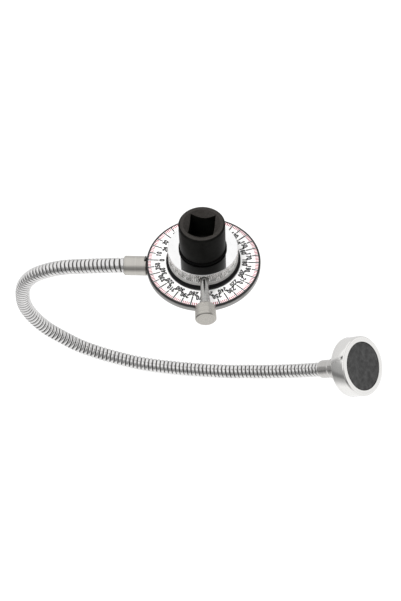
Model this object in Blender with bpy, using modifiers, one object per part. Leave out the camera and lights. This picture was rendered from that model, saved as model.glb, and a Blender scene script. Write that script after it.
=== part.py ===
# Torque angle gauge with a magnetic gooseneck arm.
# Metres, +Z up along the drive axis; the origin is the centre of the male square's end face.
# The viewer's side is -Y, and the arm leaves the dial on its -X side.

import math

import bmesh
import bpy
from mathutils import Matrix, Vector

MM = 0.001

# Clearances and cutter overrun
GAP = 0.3 * MM
OVERRUN = 1.0 * MM
MERGE = 0.00001

# Round sections, as counts of flat sides
DIAL_SIDES = 60
RING_SIDES = 56
SPINDLE_SIDES = 40
SMALL_SIDES = 20
FERRULE_SIDES = 30

# Drive spindle
SQUARE = 12.7 * MM
SQUARE_LENGTH = 16.0 * MM
SQUARE_TURN = math.radians(-8.5)
SQUARE_EDGE = 0.7 * MM
SQUARE_LEAD = 1.0 * MM
SPINDLE_R = 11.95 * MM
SPINDLE_ABOVE_DIAL = 30.5 * MM
SPINDLE_EDGE = 0.8 * MM
SHOULDER_EDGE = 1.6 * MM
SOCKET_CLEARANCE = 0.2 * MM
SOCKET_DEPTH = 16.5 * MM
SOCKET_LEAD_R = 9.5 * MM
SOCKET_DRILL_R = 5.6 * MM
SOCKET_DRILL_DEPTH = 3.0 * MM

# Detent in the male square
BALL_R = 2.5 * MM
BALL_PROUD = 1.2 * MM
BALL_HEIGHT = 7.0 * MM
DETENT_DEPTH = 8.5 * MM
SPRING_WIRE_R = 0.25 * MM
SPRING_TURNS = 3
SPRING_POINTS = 9

# Dial stack, from its printed face down
DIAL_TOP = 27.0 * MM
DIAL_BAND = 15.45 * MM
DIAL_EDGE = 0.25 * MM
PLATE_THICKNESS = 0.8 * MM
BASE_THICKNESS = 2.8 * MM
BASE_EDGE = 0.4 * MM
BUSH_WALL = 2.2 * MM
BUSH_FLANGE = 2.0 * MM
FLANGE_THICKNESS = 1.0 * MM
WASHER_THICKNESS = 0.8 * MM
CIRCLIP_THICKNESS = 1.2 * MM
CIRCLIP_WIDTH = 3.3 * MM
CIRCLIP_SEAT = 1.1 * MM
CIRCLIP_OPENING = 7.0 * MM

# Friction collar, knurled ring and O-ring above the dial
COLLAR_WALL = 7.1 * MM
COLLAR_STEP = 0.65 * MM
COLLAR_FLANGE = 1.4 * MM
COLLAR_HEIGHT = 2.4 * MM
RING_WALL = 6.05 * MM
RING_HEIGHT = 8.2 * MM
RING_EDGE = 0.8 * MM
RING_FOOT_HEIGHT = 2.2 * MM
RING_FOOT_STEP = 0.3 * MM
O_RING_SECTION_R = 0.6 * MM
O_RING_STRETCH = 0.05 * MM
O_RING_POINTS = 6

# Thumb screw, which is also the pointer
ROD_R = 2.25 * MM
ROD_HEIGHT_IN_RING = 4.25 * MM
ROD_SEAT_IN_KNOB = 4.0 * MM
KNOB_R = 5.35 * MM
KNOB_LENGTH = 7.8 * MM
KNOB_OVERHANG = 5.2 * MM
KNOB_EDGE = 0.5 * MM
PAD_LENGTH = 1.5 * MM
COUNTERSINK = 0.4 * MM

# Arm fixing under the dial
ARM_AZIMUTH = math.radians(175.0)
BRACKET_THICKNESS = 1.6 * MM
BRACKET_WIDTH = 11.2 * MM
BRACKET_INSET = 1.2 * MM
LUG_THICKNESS = 0.6 * MM
LUG_FROM = -3.8 * MM
LUG_TO = 0.6 * MM
FERRULE_R = 5.2 * MM
FERRULE_LIP = 0.1 * MM
FERRULE_EDGE = 0.6 * MM
FERRULE_LENGTH = 11.9 * MM
TONGUE_LENGTH = 11.0 * MM
TONGUE_BELOW_AXIS = 1.0 * MM
SCREW_R = 1.5 * MM
SCREW_HEAD_R = 2.6 * MM
SCREW_HEAD_HEIGHT = 1.4 * MM
SCREW_SINK = 1.8 * MM
SCREW_BITE = 1.9 * MM
SCREW_SPACING = 6.2 * MM
SLOT_WIDTH = 0.7 * MM
SLOT_DEPTH = 0.6 * MM

# Gooseneck arm
TUBE_R = 4.2 * MM
GROOVE_DEPTH = 0.55 * MM
NECK_R = 2.6 * MM
NECK_LEAD = 0.35 * MM
TUBE_BORE_R = 1.7 * MM
RIB_PITCH = 2.45 * MM
SECTIONS = 7
BEND_GAP = 0.8 * MM
TUBE_SEAT = 7.0 * MM
STRAIGHT_RUN = 1.0 * MM
ARM_LENGTH = 300.0 * MM
CURVE_STEPS = 16
BORE_STEP = 6.0 * MM

# Pot magnet
MAGNET_AXIS = Vector((0.663, -0.387, 0.641)).normalized()
NOSE_LENGTH = 1.3 * MM
NOSE_STEPS = 3
MAGNET_FERRULE_LENGTH = 7.5 * MM
BOSS_R = 6.0 * MM
BOSS_FLARE = 1.6 * MM
BOSS_LENGTH = 13.7 * MM
POT_R = 16.8 * MM
POT_LENGTH = 9.5 * MM
POT_EDGE = 0.6 * MM
POT_RIM = 3.2 * MM
MAGNET_THICKNESS = 6.0 * MM
MAGNET_RECESS = 0.1 * MM
STUD_R = 2.5 * MM
STUD_LENGTH = 10.0 * MM
STUD_IN_POT = 2.0 * MM

# Route of the arm from the ferrule's mouth to the magnet ferrule's, as shares of ARM_LENGTH
ROUTE_SHARES = [
    (-0.0385, 0.0083, -0.0085),
    (-0.0762, 0.0183, -0.0203),
    (-0.1129, 0.0283, -0.0333),
    (-0.1472, 0.0373, -0.0520),
    (-0.1769, 0.0460, -0.0774),
    (-0.1979, 0.0533, -0.1112),
    (-0.2075, 0.0583, -0.1498),
    (-0.2085, 0.0613, -0.1896),
    (-0.1972, 0.0617, -0.2283),
    (-0.1769, 0.0593, -0.2623),
    (-0.1485, 0.0547, -0.2900),
    (-0.1179, 0.0493, -0.3144),
    (-0.0822, 0.0423, -0.3310),
    (-0.0449, 0.0347, -0.3419),
    (-0.0065, 0.0263, -0.3495),
    (0.0325, 0.0173, -0.3509),
    (0.0711, 0.0083, -0.3486),
    (0.1101, -0.0010, -0.3442),
    (0.1485, -0.0103, -0.3378),
    (0.1861, -0.0200, -0.3288),
    (0.2226, -0.0275, -0.3203),
    (0.2588, -0.0366, -0.3098),
    (0.2927, -0.0460, -0.2965),
    (0.3259, -0.0564, -0.2808),
    (0.3446, -0.0638, -0.2689),
    (0.3596, -0.0711, -0.2569),
]

# Heights that follow from the stack
PLATE_BOTTOM = DIAL_TOP - PLATE_THICKNESS
BASE_TOP = PLATE_BOTTOM - GAP
BASE_BOTTOM = BASE_TOP - BASE_THICKNESS
FLANGE_TOP = BASE_BOTTOM - GAP
FLANGE_BOTTOM = FLANGE_TOP - FLANGE_THICKNESS
WASHER_TOP = FLANGE_BOTTOM - GAP
WASHER_BOTTOM = WASHER_TOP - WASHER_THICKNESS
CIRCLIP_TOP = WASHER_BOTTOM - GAP
CIRCLIP_BOTTOM = CIRCLIP_TOP - CIRCLIP_THICKNESS
SPINDLE_TOP = DIAL_TOP + SPINDLE_ABOVE_DIAL
COLLAR_BOTTOM = DIAL_TOP + GAP
COLLAR_TOP = COLLAR_BOTTOM + COLLAR_HEIGHT
RING_BOTTOM = COLLAR_TOP + GAP
RING_TOP = RING_BOTTOM + RING_HEIGHT
O_RING_HEIGHT = RING_TOP + GAP + O_RING_SECTION_R
ROD_HEIGHT = RING_BOTTOM + ROD_HEIGHT_IN_RING
BRACKET_TOP = BASE_BOTTOM - GAP
BRACKET_BOTTOM = BRACKET_TOP - BRACKET_THICKNESS
TONGUE_TOP = BRACKET_BOTTOM - GAP
ARM_HEIGHT = TONGUE_TOP + TONGUE_BELOW_AXIS

# Radii that follow
SPINDLE_BORE_R = SPINDLE_R + GAP
BUSH_R = SPINDLE_BORE_R + BUSH_WALL
FLANGE_R = BUSH_R + BUSH_FLANGE
DIAL_BORE_R = BUSH_R + GAP
DIAL_R = DIAL_BORE_R + DIAL_BAND
COLLAR_R = SPINDLE_BORE_R + COLLAR_WALL
RING_R = SPINDLE_BORE_R + RING_WALL
CLIP_GROOVE_R = SPINDLE_R - CIRCLIP_SEAT
CLIP_INNER_R = CLIP_GROOVE_R + GAP
CLIP_R = CLIP_INNER_R + CIRCLIP_WIDTH
O_RING_R = SPINDLE_R + O_RING_STRETCH
O_RING_GROOVE_R = O_RING_R - O_RING_SECTION_R - GAP
COLLAR_TOP_R = COLLAR_R - COLLAR_STEP
RING_FOOT_R = RING_R - RING_FOOT_STEP
ROD_HOLE_R = ROD_R + GAP
SOCKET = SQUARE + SOCKET_CLEARANCE
MAGNET_R = POT_R - POT_RIM - GAP
FERRULE_BORE_R = TUBE_R + GAP
FERRULE_LIP_R = FERRULE_BORE_R + FERRULE_LIP
STUD_BORE_R = STUD_R + GAP

# Distances along the thumb screw from the drive axis
PAD_START = SPINDLE_R + GAP
ROD_START = PAD_START + PAD_LENGTH + GAP
KNOB_START = DIAL_R + KNOB_OVERHANG
ROD_END = KNOB_START + ROD_SEAT_IN_KNOB
KNOB_END = KNOB_START + KNOB_LENGTH

# Distances along the arm's fixing from the drive axis
BRACKET_START = FLANGE_R + GAP
BRACKET_END = DIAL_R - BRACKET_INSET
LUG_START = DIAL_R + GAP
LUG_END = LUG_START + LUG_THICKNESS
FERRULE_START = DIAL_R + GAP
TONGUE_START = FERRULE_START - TONGUE_LENGTH
FERRULE_END = FERRULE_START + FERRULE_LENGTH
SCREW_PLACES = [TONGUE_START + TONGUE_LENGTH / 2 + side * SCREW_SPACING / 2 for side in (-1, 1)]

# Directions: the arm leaves the dial along ARM_OUT, the thumb screw along SCREW_OUT
ARM_OUT = Vector((math.cos(ARM_AZIMUTH), math.sin(ARM_AZIMUTH), 0))
SCREW_OUT = Vector((0, -1, 0))
DETENT_OUT = Vector((math.sin(SQUARE_TURN), -math.cos(SQUARE_TURN), 0))

# Distances along the magnet's axis from the mouth of its ferrule
BOSS_END = MAGNET_FERRULE_LENGTH + BOSS_LENGTH
POT_START = BOSS_END + GAP
POT_END = POT_START + POT_LENGTH
MAGNET_END = POT_END - MAGNET_RECESS
MAGNET_START = MAGNET_END - MAGNET_THICKNESS
POT_FLOOR = MAGNET_START - GAP
STUD_END = POT_START + STUD_IN_POT
STUD_START = STUD_END - STUD_LENGTH
STUD_STOP = STUD_START - GAP
TUBE_STOP = TUBE_SEAT + GAP


def clear_scene():
    for item in list(bpy.data.objects):
        bpy.data.objects.remove(item, do_unlink=True)


def new_collection(name):
    collection = bpy.data.collections.new(name)
    bpy.context.scene.collection.children.link(collection)
    return collection


def material(name, color, roughness, metallic):
    made = bpy.data.materials.new(name)
    made.use_nodes = True
    shader = made.node_tree.nodes["Principled BSDF"]
    shader.inputs["Base Color"].default_value = (*color, 1.0)
    shader.inputs["Roughness"].default_value = roughness
    shader.inputs["Metallic"].default_value = metallic
    made.diffuse_color = (*color, 1.0)
    return made


clear_scene()
PARTS = new_collection("torque_angle_gauge")
CUTTERS = new_collection("cutters")

BLACK_OXIDE = material("black_oxide_steel", (0.03, 0.03, 0.033), 0.35, 0.9)
BRIGHT_STEEL = material("bright_steel", (0.62, 0.62, 0.6), 0.25, 1.0)
SPRING_STEEL = material("spring_steel", (0.45, 0.45, 0.46), 0.3, 1.0)
TURNED_ALUMINIUM = material("turned_aluminium", (0.78, 0.78, 0.77), 0.28, 1.0)
SATIN_STEEL = material("satin_steel", (0.52, 0.51, 0.49), 0.45, 1.0)
CHROMED_STEEL = material("chromed_steel", (0.75, 0.75, 0.76), 0.15, 1.0)
NICKELLED_STEEL = material("nickelled_steel", (0.68, 0.68, 0.68), 0.25, 1.0)
PRINTED_WHITE = material("printed_white", (0.85, 0.84, 0.82), 0.4, 0.0)
BLACK_NYLON = material("black_nylon", (0.02, 0.02, 0.022), 0.5, 0.0)
BLACK_RUBBER = material("black_rubber", (0.015, 0.015, 0.015), 0.6, 0.0)
BRONZE = material("bronze", (0.55, 0.36, 0.18), 0.4, 1.0)
FERRITE = material("ferrite", (0.07, 0.07, 0.072), 0.7, 0.0)


def link_part(name, mesh, finish):
    part = bpy.data.objects.new(name, mesh)
    mesh.materials.clear()
    mesh.materials.append(finish)
    PARTS.objects.link(part)
    return part


def link_cutter(name, mesh):
    cutter = bpy.data.objects.new(name, mesh)
    cutter.hide_render = True
    cutter.display_type = "WIRE"
    CUTTERS.objects.link(cutter)
    return cutter


def frame_at(origin, direction):
    """Matrix that puts local +Z along the direction and the local origin at the point."""
    turn = direction.to_track_quat("Z", "Y").to_matrix().to_4x4()
    return Matrix.Translation(origin) @ turn


def profile_mesh(name, points, closed):
    mesh = bpy.data.meshes.new(name)
    form = bmesh.new()
    corners = [form.verts.new((radius, 0, height)) for radius, height in points]
    for first, second in zip(corners, corners[1:]):
        form.edges.new((first, second))
    if closed:
        form.edges.new((corners[-1], corners[0]))
    form.to_mesh(mesh)
    form.free()
    return mesh


def spin_round(item, sides):
    screw = item.modifiers.new("Screw", "SCREW")
    screw.axis = "Z"
    screw.angle = math.tau
    screw.steps = sides
    screw.render_steps = sides
    screw.use_merge_vertices = True
    screw.merge_threshold = MERGE
    screw.use_smooth_shade = True


def turned(name, points, sides, finish, closed=True, place=None):
    """Turned piece: outer side from top to bottom, then, if it is closed, the bore back up."""
    part = link_part(name, profile_mesh(name, points, closed), finish)
    spin_round(part, sides)
    if place is not None:
        part.matrix_world = place
    return part


def turned_cutter(name, points, sides, place=None):
    cutter = link_cutter(name, profile_mesh(name, points, False))
    spin_round(cutter, sides)
    if place is not None:
        cutter.matrix_world = place
    return cutter


def cylinder_cutter(name, radius, start, end, sides, origin, direction):
    points = [(0, end), (radius, end), (radius, start), (0, start)]
    return turned_cutter(name, points, sides, frame_at(origin, direction))


def box_mesh(name, low, high):
    mesh = bpy.data.meshes.new(name)
    form = bmesh.new()
    bmesh.ops.create_cube(form, size=1.0)
    size = [top - bottom for bottom, top in zip(low, high)]
    middle = [(top + bottom) / 2 for bottom, top in zip(low, high)]
    bmesh.ops.scale(form, vec=size, verts=form.verts)
    bmesh.ops.translate(form, vec=middle, verts=form.verts)
    form.to_mesh(mesh)
    form.free()
    return mesh


def box_cutter(name, low, high, place=None):
    cutter = link_cutter(name, box_mesh(name, low, high))
    if place is not None:
        cutter.matrix_world = place
    return cutter


def cut(part, cutter, operation="DIFFERENCE"):
    boolean = part.modifiers.new(cutter.name, "BOOLEAN")
    boolean.operation = operation
    boolean.solver = "EXACT"
    boolean.object = cutter


def square_prism(name, side, low, high, edge):
    """Square bar about Z, turned to the drive's angle, with its long edges bevelled."""
    mesh = bpy.data.meshes.new(name)
    form = bmesh.new()
    bmesh.ops.create_cube(form, size=1.0)
    bmesh.ops.scale(form, vec=(side, side, high - low), verts=form.verts)
    bmesh.ops.translate(form, vec=(0, 0, (high + low) / 2), verts=form.verts)
    if edge > 0:
        upright = [e for e in form.edges if abs(e.verts[0].co.z - e.verts[1].co.z) > MERGE]
        bmesh.ops.bevel(form, geom=upright, offset=edge, offset_type="OFFSET", affect="EDGES",
                        segments=2, profile=0.5, material=-1)
    bmesh.ops.rotate(form, matrix=Matrix.Rotation(SQUARE_TURN, 3, "Z"), verts=form.verts)
    form.to_mesh(mesh)
    form.free()
    return mesh


def mesh_from_curve(curve_object):
    """Mesh of a curve's tube in world space, with its caps welded on."""
    bpy.context.view_layer.update()
    graph = bpy.context.evaluated_depsgraph_get()
    mesh = bpy.data.meshes.new_from_object(curve_object.evaluated_get(graph))
    form = bmesh.new()
    form.from_mesh(mesh)
    bmesh.ops.remove_doubles(form, verts=form.verts, dist=MERGE)
    form.to_mesh(mesh)
    form.free()
    mesh.transform(curve_object.matrix_world)
    bpy.data.objects.remove(curve_object, do_unlink=True)
    return mesh


def tube_mesh(name, points, radii, resolution):
    """Tube through the points, each with its own radius."""
    curve = bpy.data.curves.new(name, "CURVE")
    curve.dimensions = "3D"
    curve.bevel_depth = max(radii)
    curve.bevel_resolution = resolution
    curve.use_fill_caps = True
    spline = curve.splines.new("POLY")
    spline.points.add(len(points) - 1)
    for target, point, radius in zip(spline.points, points, radii):
        target.co = (*point, 1.0)
        target.radius = radius / max(radii)
    holder = bpy.data.objects.new(name, curve)
    CUTTERS.objects.link(holder)
    return mesh_from_curve(holder)


def joint_empty(name, place):
    empty = bpy.data.objects.new(name, None)
    empty.location = place
    PARTS.objects.link(empty)
    return empty


def hang_on(part, empty):
    part.parent = empty
    part.matrix_parent_inverse = Matrix.Translation(-empty.location)


def make_spindle():
    socket_low = SPINDLE_TOP - SOCKET_DEPTH
    points = [
        (0, SPINDLE_TOP),
        (SPINDLE_R - SPINDLE_EDGE, SPINDLE_TOP),
        (SPINDLE_R, SPINDLE_TOP - SPINDLE_EDGE),
        (SPINDLE_R, O_RING_HEIGHT + O_RING_SECTION_R + GAP),
        (O_RING_GROOVE_R, O_RING_HEIGHT + O_RING_SECTION_R + GAP),
        (O_RING_GROOVE_R, RING_TOP),
        (SPINDLE_R, RING_TOP),
        (SPINDLE_R, CIRCLIP_TOP + GAP),
        (CLIP_GROOVE_R, CIRCLIP_TOP + GAP),
        (CLIP_GROOVE_R, CIRCLIP_BOTTOM - GAP),
        (SPINDLE_R, CIRCLIP_BOTTOM - GAP),
        (SPINDLE_R, SQUARE_LENGTH + SHOULDER_EDGE),
        (SPINDLE_R - SHOULDER_EDGE, SQUARE_LENGTH),
        (0, SQUARE_LENGTH),
    ]
    spindle = turned("drive_spindle", points, SPINDLE_SIDES, BLACK_OXIDE, closed=False)

    bar = link_cutter("male_square", square_prism("male_square", SQUARE, 0,
                                                  SQUARE_LENGTH + OVERRUN, SQUARE_EDGE))
    reach = SQUARE / math.sqrt(2)
    lead_points = [
        (0, SQUARE_LENGTH + 2 * OVERRUN),
        (reach, SQUARE_LENGTH + 2 * OVERRUN),
        (reach, SQUARE_LEAD),
        (reach - SQUARE_LEAD, 0),
        (0, 0),
    ]
    lead = turned_cutter("square_lead", lead_points, SPINDLE_SIDES)
    cut(bar, lead, "INTERSECT")
    cut(spindle, bar, "UNION")

    socket = link_cutter("female_square", square_prism("female_square", SOCKET, socket_low,
                                                       SPINDLE_TOP + OVERRUN, 0))
    cut(spindle, socket)
    lead_depth = SOCKET_LEAD_R - SOCKET / 2
    cone_points = [
        (0, SPINDLE_TOP + OVERRUN),
        (SOCKET_LEAD_R + OVERRUN, SPINDLE_TOP + OVERRUN),
        (SOCKET / 2, SPINDLE_TOP - lead_depth),
        (0, SPINDLE_TOP - lead_depth),
    ]
    cut(spindle, turned_cutter("socket_lead", cone_points, SPINDLE_SIDES))
    drill_points = [
        (0, socket_low + OVERRUN),
        (SOCKET_DRILL_R, socket_low + OVERRUN),
        (SOCKET_DRILL_R, socket_low),
        (0, socket_low - SOCKET_DRILL_DEPTH),
    ]
    cut(spindle, turned_cutter("socket_drill", drill_points, SMALL_SIDES))

    face = SQUARE / 2
    cut(spindle, cylinder_cutter("detent_hole", BALL_R + GAP, face - DETENT_DEPTH, face + OVERRUN,
                                 SMALL_SIDES, Vector((0, 0, BALL_HEIGHT)), DETENT_OUT))
    return spindle


def make_detent():
    face = SQUARE / 2
    middle = face + BALL_PROUD - BALL_R
    centre = Vector((0, 0, BALL_HEIGHT)) + DETENT_OUT * middle
    mesh = bpy.data.meshes.new("detent_ball")
    form = bmesh.new()
    bmesh.ops.create_uvsphere(form, u_segments=16, v_segments=10, radius=BALL_R)
    form.to_mesh(mesh)
    form.free()
    ball = link_part("detent_ball", mesh, BRIGHT_STEEL)
    ball.matrix_world = frame_at(centre, DETENT_OUT)

    start = face - DETENT_DEPTH + GAP + SPRING_WIRE_R
    end = middle - BALL_R - GAP - SPRING_WIRE_R
    coil_r = BALL_R - 2 * SPRING_WIRE_R
    count = SPRING_TURNS * SPRING_POINTS
    place = frame_at(Vector((0, 0, BALL_HEIGHT)), DETENT_OUT)
    points = []
    for step in range(count + 1):
        angle = math.tau * step / SPRING_POINTS
        along = start + (end - start) * step / count
        points.append(place @ Vector((coil_r * math.cos(angle), coil_r * math.sin(angle), along)))
    radii = [SPRING_WIRE_R] * len(points)
    spring = link_part("detent_spring", tube_mesh("detent_spring", points, radii, 1), SPRING_STEEL)
    least = min((a - b).length for i, a in enumerate(points) for b in points[i + SPRING_POINTS // 2:])
    print("detent_spring least gap to itself, mm:", round((least - 2 * SPRING_WIRE_R) / MM, 2))
    return ball, spring


def make_dial():
    plate_points = [
        (DIAL_R - DIAL_EDGE, DIAL_TOP),
        (DIAL_R, DIAL_TOP - DIAL_EDGE),
        (DIAL_R, PLATE_BOTTOM),
        (DIAL_BORE_R, PLATE_BOTTOM),
        (DIAL_BORE_R, DIAL_TOP),
    ]
    turned("scale_plate", plate_points, DIAL_SIDES, PRINTED_WHITE)
    base_points = [
        (DIAL_R, BASE_TOP),
        (DIAL_R, BASE_BOTTOM + BASE_EDGE),
        (DIAL_R - BASE_EDGE, BASE_BOTTOM),
        (DIAL_BORE_R, BASE_BOTTOM),
        (DIAL_BORE_R, BASE_TOP),
    ]
    base = turned("base_disc", base_points, DIAL_SIDES, TURNED_ALUMINIUM)
    for index, place in enumerate(SCREW_PLACES):
        cut(base, cylinder_cutter(f"base_screw_hole_{index}", SCREW_R + GAP, BASE_BOTTOM - OVERRUN,
                                  BASE_BOTTOM + SCREW_BITE + GAP, SMALL_SIDES, ARM_OUT * place,
                                  Vector((0, 0, 1))))
    bush_points = [
        (BUSH_R, DIAL_TOP),
        (BUSH_R, FLANGE_TOP),
        (FLANGE_R, FLANGE_TOP),
        (FLANGE_R, FLANGE_BOTTOM),
        (SPINDLE_BORE_R, FLANGE_BOTTOM),
        (SPINDLE_BORE_R, DIAL_TOP),
    ]
    turned("hub_bush", bush_points, SPINDLE_SIDES, BRONZE)
    washer_points = [
        (FLANGE_R, WASHER_TOP),
        (FLANGE_R, WASHER_BOTTOM),
        (SPINDLE_BORE_R, WASHER_BOTTOM),
        (SPINDLE_BORE_R, WASHER_TOP),
    ]
    turned("thrust_washer", washer_points, SPINDLE_SIDES, BRIGHT_STEEL)


def make_circlip():
    points = [
        (CLIP_R, CIRCLIP_TOP),
        (CLIP_R, CIRCLIP_BOTTOM),
        (CLIP_INNER_R, CIRCLIP_BOTTOM),
        (CLIP_INNER_R, CIRCLIP_TOP),
    ]
    circlip = turned("circlip", points, SPINDLE_SIDES, SPRING_STEEL)
    half = CIRCLIP_OPENING / 2
    opening = box_cutter("circlip_opening",
                         (-half, 0, CIRCLIP_BOTTOM - OVERRUN),
                         (half, CLIP_R + OVERRUN, CIRCLIP_TOP + OVERRUN))
    cut(circlip, opening)


def make_ring():
    collar_points = [
        (COLLAR_TOP_R, COLLAR_TOP),
        (COLLAR_TOP_R, COLLAR_BOTTOM + COLLAR_FLANGE),
        (COLLAR_R, COLLAR_BOTTOM + COLLAR_FLANGE),
        (COLLAR_R, COLLAR_BOTTOM),
        (SPINDLE_BORE_R, COLLAR_BOTTOM),
        (SPINDLE_BORE_R, COLLAR_TOP),
    ]
    turned("friction_collar", collar_points, RING_SIDES, BLACK_NYLON)
    ring_points = [
        (RING_R - RING_EDGE, RING_TOP),
        (RING_R, RING_TOP - RING_EDGE),
        (RING_R, RING_BOTTOM + RING_FOOT_HEIGHT),
        (RING_FOOT_R, RING_BOTTOM + RING_FOOT_HEIGHT),
        (RING_FOOT_R, RING_BOTTOM),
        (SPINDLE_BORE_R, RING_BOTTOM),
        (SPINDLE_BORE_R, RING_TOP),
    ]
    ring = turned("pointer_ring", ring_points, RING_SIDES, TURNED_ALUMINIUM)
    hole_points = [
        (0, RING_R + OVERRUN),
        (ROD_HOLE_R + COUNTERSINK + OVERRUN, RING_R + OVERRUN),
        (ROD_HOLE_R, RING_R - COUNTERSINK),
        (ROD_HOLE_R, 0),
        (0, 0),
    ]
    screw_place = frame_at(Vector((0, 0, ROD_HEIGHT)), SCREW_OUT)
    cut(ring, turned_cutter("thumb_screw_hole", hole_points, SMALL_SIDES, screw_place))

    section = []
    for step in range(O_RING_POINTS):
        angle = math.tau * (step + 0.5) / O_RING_POINTS
        section.append((O_RING_R + O_RING_SECTION_R * math.sin(angle),
                        O_RING_HEIGHT + O_RING_SECTION_R * math.cos(angle)))
    turned("collar_o_ring", section, SPINDLE_SIDES, BLACK_RUBBER)


def make_thumb_screw():
    place = frame_at(Vector((0, 0, ROD_HEIGHT)), SCREW_OUT)
    pad_points = [(0, PAD_START + PAD_LENGTH), (ROD_R, PAD_START + PAD_LENGTH), (ROD_R, PAD_START),
                  (0, PAD_START)]
    turned("clamp_pad", pad_points, SMALL_SIDES, BLACK_NYLON, closed=False, place=place)
    rod_points = [(0, ROD_END), (ROD_R, ROD_END), (ROD_R, ROD_START), (0, ROD_START)]
    turned("thumb_screw_rod", rod_points, SMALL_SIDES, BRIGHT_STEEL, closed=False, place=place)
    bore_end = ROD_END + GAP
    knob_points = [
        (0, KNOB_END),
        (KNOB_R - KNOB_EDGE, KNOB_END),
        (KNOB_R, KNOB_END - KNOB_EDGE),
        (KNOB_R, KNOB_START + KNOB_EDGE),
        (KNOB_R - KNOB_EDGE, KNOB_START),
        (ROD_HOLE_R, KNOB_START),
        (ROD_HOLE_R, bore_end),
        (0, bore_end),
    ]
    turned("thumb_screw_knob", knob_points, FERRULE_SIDES, SATIN_STEEL, closed=False, place=place)


def make_arm_fixing(carrier):
    along = Matrix.Rotation(ARM_AZIMUTH, 4, "Z")
    half = BRACKET_WIDTH / 2
    bracket = link_part("arm_bracket", box_mesh("arm_bracket", (BRACKET_START, -half, BRACKET_BOTTOM),
                                                (BRACKET_END, half, BRACKET_TOP)), BLACK_OXIDE)
    bracket.matrix_world = along
    foot = box_cutter("bracket_foot", (BRACKET_END - OVERRUN, LUG_FROM, BRACKET_BOTTOM),
                      (LUG_END, LUG_TO, BRACKET_TOP), along)
    cut(bracket, foot, "UNION")
    lug = box_cutter("bracket_lug", (LUG_START, LUG_FROM, BRACKET_BOTTOM), (LUG_END, LUG_TO, BASE_TOP),
                     along)
    cut(bracket, lug, "UNION")

    axis_origin = Vector((0, 0, ARM_HEIGHT))
    tube_stop = FERRULE_END - TUBE_SEAT - GAP
    points = [
        (0, tube_stop),
        (FERRULE_BORE_R, tube_stop),
        (FERRULE_BORE_R, FERRULE_END),
        (FERRULE_LIP_R, FERRULE_END),
        (FERRULE_R, FERRULE_END - FERRULE_EDGE),
        (FERRULE_R, TONGUE_START),
        (0, TONGUE_START),
    ]
    ferrule = turned("dial_ferrule", points, FERRULE_SIDES, SATIN_STEEL, closed=False,
                     place=frame_at(axis_origin, ARM_OUT))
    high = ARM_HEIGHT + FERRULE_R + OVERRUN
    cut(ferrule, box_cutter("tongue_notch", (0, -FERRULE_R - OVERRUN, TONGUE_TOP),
                            (FERRULE_START, FERRULE_R + OVERRUN, high), along))
    cut(ferrule, box_cutter("lug_notch",
                            (BRACKET_END, -FERRULE_R - 2 * OVERRUN, BRACKET_BOTTOM - 2 * GAP),
                            (LUG_END + GAP, LUG_TO + GAP, high + OVERRUN), along))
    for index, place in enumerate(SCREW_PLACES):
        screw = make_bracket_screw(index + 1, ARM_OUT * place, bracket, ferrule)
        hang_on(screw, carrier)


def make_bracket_screw(number, spot, bracket, ferrule):
    up = Vector((0, 0, 1))
    low = ARM_HEIGHT - FERRULE_R - OVERRUN
    seat = ARM_HEIGHT - FERRULE_R + SCREW_SINK
    for piece in (bracket, ferrule):
        cut(piece, cylinder_cutter(f"{piece.name}_hole_{number}", SCREW_R + GAP, low,
                                   BRACKET_TOP + OVERRUN, SMALL_SIDES, spot, up))
    cut(ferrule, cylinder_cutter(f"screw_seat_{number}", SCREW_HEAD_R + GAP, low, seat, SMALL_SIDES,
                                 spot, up))
    head_top = seat - GAP
    head_bottom = head_top - SCREW_HEAD_HEIGHT
    screw_top = BASE_BOTTOM + SCREW_BITE
    points = [
        (0, screw_top),
        (SCREW_R, screw_top),
        (SCREW_R, head_top),
        (SCREW_HEAD_R, head_top),
        (SCREW_HEAD_R, head_bottom),
        (0, head_bottom),
    ]
    place = Matrix.Translation(spot) @ Matrix.Rotation(ARM_AZIMUTH, 4, "Z")
    screw = turned(f"bracket_screw_{number}", points, SMALL_SIDES, BRIGHT_STEEL, closed=False,
                   place=place)
    slot = box_cutter(f"screw_slot_{number}",
                      (-SLOT_WIDTH / 2, -SCREW_HEAD_R - OVERRUN, head_bottom - OVERRUN),
                      (SLOT_WIDTH / 2, SCREW_HEAD_R + OVERRUN, head_bottom + SLOT_DEPTH), place)
    cut(screw, slot)
    return screw


def arm_points():
    """The arm's own points: straight in the ferrules, and the named shares between them."""
    mouth = ARM_OUT * FERRULE_END + Vector((0, 0, ARM_HEIGHT))
    free = [mouth + Vector(share) * ARM_LENGTH for share in ROUTE_SHARES]
    end = free[-1]
    start_run = [mouth - ARM_OUT * TUBE_SEAT, mouth, mouth + ARM_OUT * STRAIGHT_RUN]
    end_run = [end - MAGNET_AXIS * STRAIGHT_RUN, end, end + MAGNET_AXIS * TUBE_SEAT]
    return start_run + free[:-1] + end_run, end


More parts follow.
